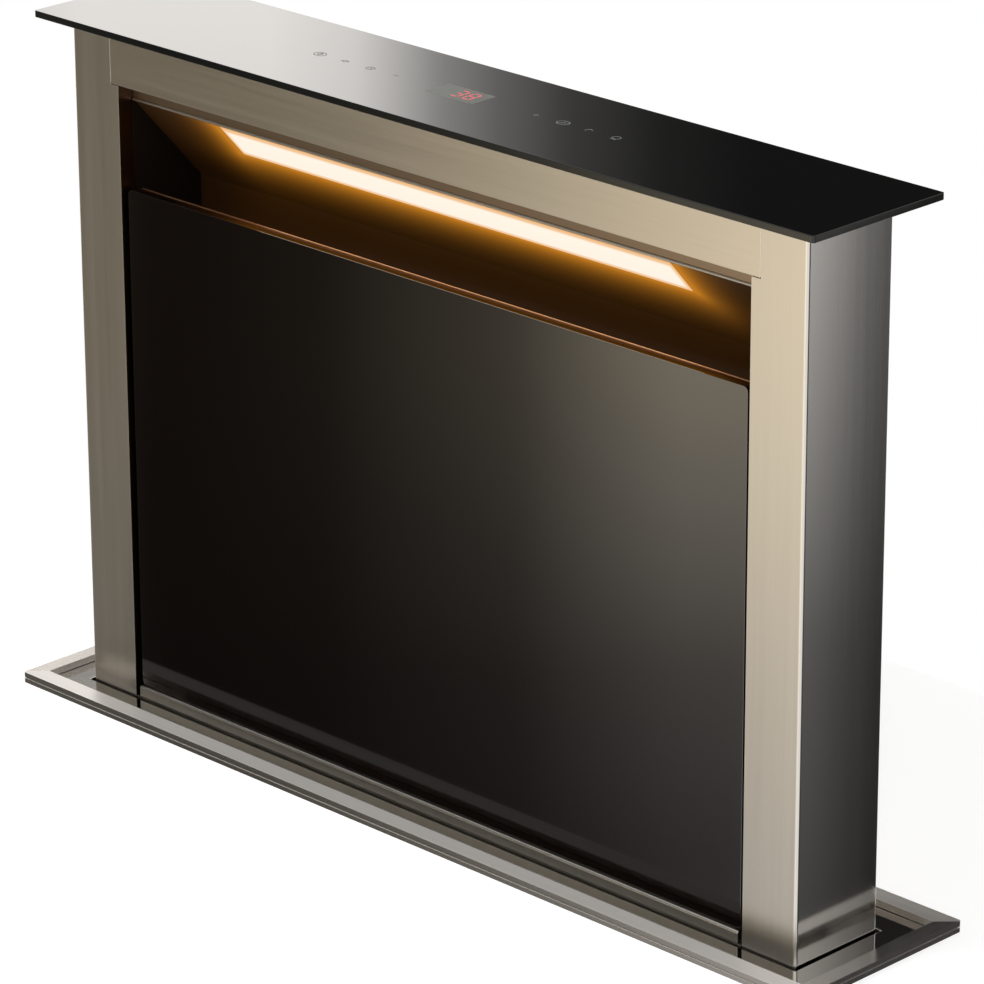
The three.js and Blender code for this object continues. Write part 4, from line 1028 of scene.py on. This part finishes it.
def thread(name, foot, length, radius, depth, pitch, starts=1, sides=32, steps=16):
    """A screw thread that stands on foot: a lobed outline, one lobe a start, drawn up while it turns."""
    crest_width = 1.6
    bpy.ops.mesh.primitive_circle_add(vertices=sides, radius=radius * MM, fill_type="NOTHING")
    outline = bpy.context.object
    outline.name = name
    for vertex in outline.data.vertices:
        angle = math.atan2(vertex.co.y, vertex.co.x)
        lobe = 0.5 + 0.5 * math.cos(starts * angle)
        reach = radius - depth * (1 - min(1.0, crest_width * lobe))
        vertex.co.x, vertex.co.y = reach * math.cos(angle) * MM, reach * math.sin(angle) * MM
    turns = length / (pitch * starts)
    rise = outline.modifiers.new("rise", "SCREW")
    rise.axis = "Z"
    rise.angle = 2 * math.pi * turns
    rise.screw_offset = length * MM
    rise.steps = rise.render_steps = max(3, round(turns * steps))
    rise.use_merge_vertices = False
    apply_modifiers(outline)
    edit(outline, "DESELECT")
    bpy.ops.mesh.select_mode(type="EDGE")
    bpy.ops.mesh.select_non_manifold()
    bpy.ops.mesh.edge_face_add()
    leave_edit()
    outline.location = place(*foot)
    settle(outline)
    mend_normals(outline)
    paint(outline, bar_steel)
    smooth(outline, 50)
    return outline


# ---------------------------- housing and blower

housing_half_x, housing_half_y = 302.75, 55.2
casing_left, casing_right = -164, 139.5
casing_low, casing_high = -469.5, -148
casing_sides = ((LEFT, casing_left), (RIGHT, casing_right))
cover_front = -213.5
flange_front = -216.8
motor_front = -242.4
fan_x, fan_z = -30, -300
outlet_x, outlet_y = 60.1, -134.5
outlet_radius = 74.5
box_front = -103.5
clamp_screw_x = 326.05


def housing_details(rivet):
    for name, side in (("front", -1), ("back", 1)):
        y = side * housing_half_y
        points = [(x, y, z) for x in (-296, 296) for z in along(-22, -562, 10)]
        points += [(x, y, -574) for x in along(-250, 250, 6)]
        set_out(f"housing_{name}_rivets", rivet, f"housing_{name}_panel", {(0, side, 0): points})
    for sign in (LEFT, RIGHT):
        end = f"housing_end_{SIDE[sign]}"
        x = sign * housing_half_x
        points = [(x, y, z) for y in (-48, 48) for z in along(-140, -560, 7)]
        set_out(f"{end}_rivets", rivet, end, {(sign, 0, 0): points})
        beads(end, end, [(x, y) for y in (-24, 24)], -520, -160, 14, 2.2, SIDEWAYS)
    back_columns = [(x, housing_half_y) for x in (-225, -135, -45, 45, 135, 225)]
    beads("housing_back", "housing_back_panel", back_columns, -525, -75, 20, 3.0, BACKWARD)
    front_columns = [(x, -housing_half_y) for x in (-240, -205, 160)]
    beads("housing_front", "housing_front_panel", front_columns, -520, -75, 14, 2.4, BACKWARD)


def blower_details(rivet, screw):
    edge = 7
    sides = (casing_left + edge, casing_right - edge)
    ends = (casing_low + edge, casing_high - edge)
    points = [(x, cover_front, z) for x in along(*sides, 6) for z in ends]
    points += [(x, cover_front, z) for z in along(casing_low + 60, casing_high - 60, 4) for x in sides]
    set_out("blower_cover_screws", screw, "blower_cover", {FORWARD: points})
    for name, radius, thickness in (("bead", 92, 1.6), ("inner_bead", 76, 1.2)):
        ring(f"blower_cover_{name}", radius, thickness, (fan_x, cover_front, fan_z), FORWARD, zinc,
             "blower_cover")
    flange_radius = 55
    turns = [math.radians(degrees) for degrees in range(30, 390, 60)]
    points = [(fan_x + flange_radius * math.cos(turn), flange_front, fan_z + flange_radius * math.sin(turn))
              for turn in turns]
    set_out("fan_motor_screws", screw, "fan_motor", {FORWARD: points})
    rows = along(casing_low + 25, casing_high - 25, 5)
    set_out("blower_casing_rivets", rivet, "blower_casing", {
        (sign, 0, 0): [(x, y, z) for y in (-203, -66) for z in rows] for sign, x in casing_sides
    })
    for sign, x in casing_sides:
        columns = [(x, y) for y in (-165, -134, -103)]
        beads(f"blower_casing_{SIDE[sign]}", "blower_casing", columns, -430, -190, 14, 2.2, SIDEWAYS)


def fan_motor():
    slot_count = 14
    slots = []
    for turn in range(slot_count):
        slot = block("slot", (24, -246, -1.8), (41, -240.5, 1.8))
        slots.append(turned(slot, 2 * math.pi * turn / slot_count, "Y", (fan_x, 0, fan_z)))
    dish = cylinder("dish", 12, (fan_x, -246, fan_z), (fan_x, -242.6, fan_z), 40)
    dress("fan_motor", motor_enamel, 0.6, (join(slots, "slots"), dish))
    nut = cylinder("fan_motor_end_nut", 7, (fan_x, motor_front - 1, fan_z), (fan_x, motor_front, fan_z), 6,
                   zinc_plate)
    ease_edges(nut, 0.2, 1)
    own(nut, "fan_motor")
    for index, y in enumerate((-222, -229, -236)):
        ring(f"fan_motor_rib_{index}", 48, 0.9, (fan_x, y, fan_z), FORWARD, motor_enamel, "fan_motor")


def outlet():
    dress("outlet_spigot", zinc, 0.2)
    for name, z, thickness, finish in (
        ("stop_bead", -506, 1.5, zinc), ("seal", -541, 1.1, rubber), ("seal_lip", -545, 0.9, rubber),
    ):
        ring(f"outlet_{name}", outlet_radius, thickness, (outlet_x, outlet_y, z), UPWARD, finish,
             "outlet_spigot")


def control_box(screw):
    seam = block("seam", (184, -94, -331), (291, -92.6, -129))
    cut(seam, block("core", (186, -95, -329), (289, -91, -131)))
    vents = [block("vent", (205, -106, z - 1.2), (245, -102.4, z + 1.2)) for z in along(-300, -265, 6)]
    dress("control_box", black_plastic, 0.9, (seam, join(vents, "vents")))
    corners = [(x, box_front, z) for x in (194, 281) for z in (-321, -139)]
    set_out("control_box_screws", screw, "control_box", {FORWARD: corners})


def clamps():
    for sign in (LEFT, RIGHT):
        clamp = f"worktop_clamp_{SIDE[sign]}"
        dress(clamp, zinc_plate)
        coil = thread(f"{clamp}_thread", (sign * clamp_screw_x, 0, -104), 54, 4.5, 0.55, 1.5,
                      sides=20, steps=20)
        own(coil, clamp)


# ---------------------------- screw lift and filters

lift_y = -2.4
lead_screw_x = 290.775
lead_screw_radius = 5
screw_square = 3.5
belt_half_span = 7.2
belt_low, belt_high = -541.4, -533.4
gearbox_front = -22.4
lift_motor_z = -564.7


def lead_screws():
    for sign, foot in ((LEFT, -544.2), (RIGHT, -560.0)):
        name = f"lead_screw_{SIDE[sign]}"
        x = sign * lead_screw_x
        coil = thread(f"{name}_thread", (x, lift_y, -513), 482.5, lead_screw_radius, 0.9, 5, 4)
        plain = cylinder(f"{name}_foot", lead_screw_radius, (x, lift_y, foot), (x, lift_y, -512.5))
        neck = cylinder(f"{name}_neck", lead_screw_radius, (x, lift_y, -31), (x, lift_y, -16))
        square = block(f"{name}_square", (x - screw_square, lift_y - screw_square, -16.5),
                       (x + screw_square, lift_y + screw_square, -14))
        ends = join([plain, neck, square], f"{name}_ends")
        ease_edges(ends, 0.3)
        paint(ends, bar_steel)
        stand_for(coil, name)
        stand_for(ends, name)


def belt():
    dress("drive_belt", rubber, 0.2)
    teeth = []
    for y in (lift_y - belt_half_span, lift_y + belt_half_span):
        tooth = block("tooth", (-276, y - 0.8, belt_low), (-274.4, y + 0.8, belt_high))
        repeat = tooth.modifiers.new("teeth", "ARRAY")
        repeat.use_relative_offset = False
        repeat.use_constant_offset = True
        repeat.constant_offset_displace = place(5.0, 0, 0)
        repeat.count = 111
        apply_modifiers(tooth)
        teeth.append(tooth)
    teeth = join(teeth, "drive_belt_teeth")
    paint(teeth, rubber)
    own(teeth, "drive_belt")


def filters():
    """The grease filters, with mesh on their two broad faces."""
    for sign in (LEFT, RIGHT):
        piece = dress(f"grease_filter_{SIDE[sign]}", filter_frame)
        level = [face for face in piece.data.polygons if abs(face.normal.y) > 0.97]
        least = 0.6 * max(face.area for face in level)
        paint_faces(piece, filter_mesh, lambda face: abs(face.normal.y) > 0.97 and face.area > least)


# ---------------------------- electrics and lift drive

def touch_board_chips():
    """Small packages under the touch board, from their x, length and width."""
    name = "touch_board_chips"
    thickness = 1.2
    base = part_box("touch_control_board")[0][2] / MM - thickness
    parts = []
    for x, length, width in ((-90, 7, 7), (-60, 4, 3), (-34, 10, 6), (30, 6, 6), (62, 4, 3), (96, 9, 6)):
        parts.append(block(name, (x - length / 2, print_row - width / 2, base),
                           (x + length / 2, print_row + width / 2, base + thickness)))
    piece = join(parts, name)
    ease_edges(piece, 0.12, 1)
    paint(piece, black_plastic)
    own(piece, "touch_control_board")


def lift_drive(screw):
    corners = [(x, gearbox_front, z) for x in (268.2, 296.3) for z in (-576.2, -552.2)]
    set_out("lift_gearbox_screws", screw, "lift_gearbox", {FORWARD: corners})
    for index, x in enumerate((139, 146, 244, 251)):
        ring(f"lift_motor_groove_{index}", 16.4, 0.7, (x, lift_y, lift_motor_z), SIDEWAYS, motor_enamel,
             "lift_motor", 40)
    vents = []
    for degrees in (-50, -25, 0, 25, 50):
        slot = block("slot", (160, -20.2, -1.3), (230, -15.2, 1.3))
        vents.append(turned(slot, math.radians(degrees), "X", (0, lift_y, lift_motor_z)))
    dress("lift_motor", motor_enamel, 0.4, (join(vents, "vents"),))


# ---------------------------- build

deselect()
add_camera()
add_world()
add_studio()
add_worktop()

riser_sides()
glass_top()
touch_symbols()
display_window()
dress("riser_top_rail", steel_level, 0.25)
dress("riser_back_panel", steel_level, 0.25)
lit_slot()
trim_frame()

rivet, hex_head, cross_head = pop_rivet(), hex_screw(), cross_screw()
housing_details(rivet)
blower_details(rivet, hex_head)
fan_motor()
outlet()
control_box(cross_head)
clamps()
lead_screws()
belt()
filters()
lift_drive(cross_head)
touch_board_chips()
riser_back_y = 30.25
back_points = [(x, riser_back_y, z) for x in (-256, 256) for z in (30, 145, 260, 375)]
set_out("riser_back_rivets", rivet, "riser_back_panel", {BACKWARD: back_points})
for model in (rivet, hex_head, cross_head):
    bpy.data.objects.remove(model)

for node in nodes:
    if f"{node}_finished" not in bpy.data.objects:
        dress(node, finish_of[slot_of[node]])

bpy.context.scene.view_settings.view_transform = "Standard"
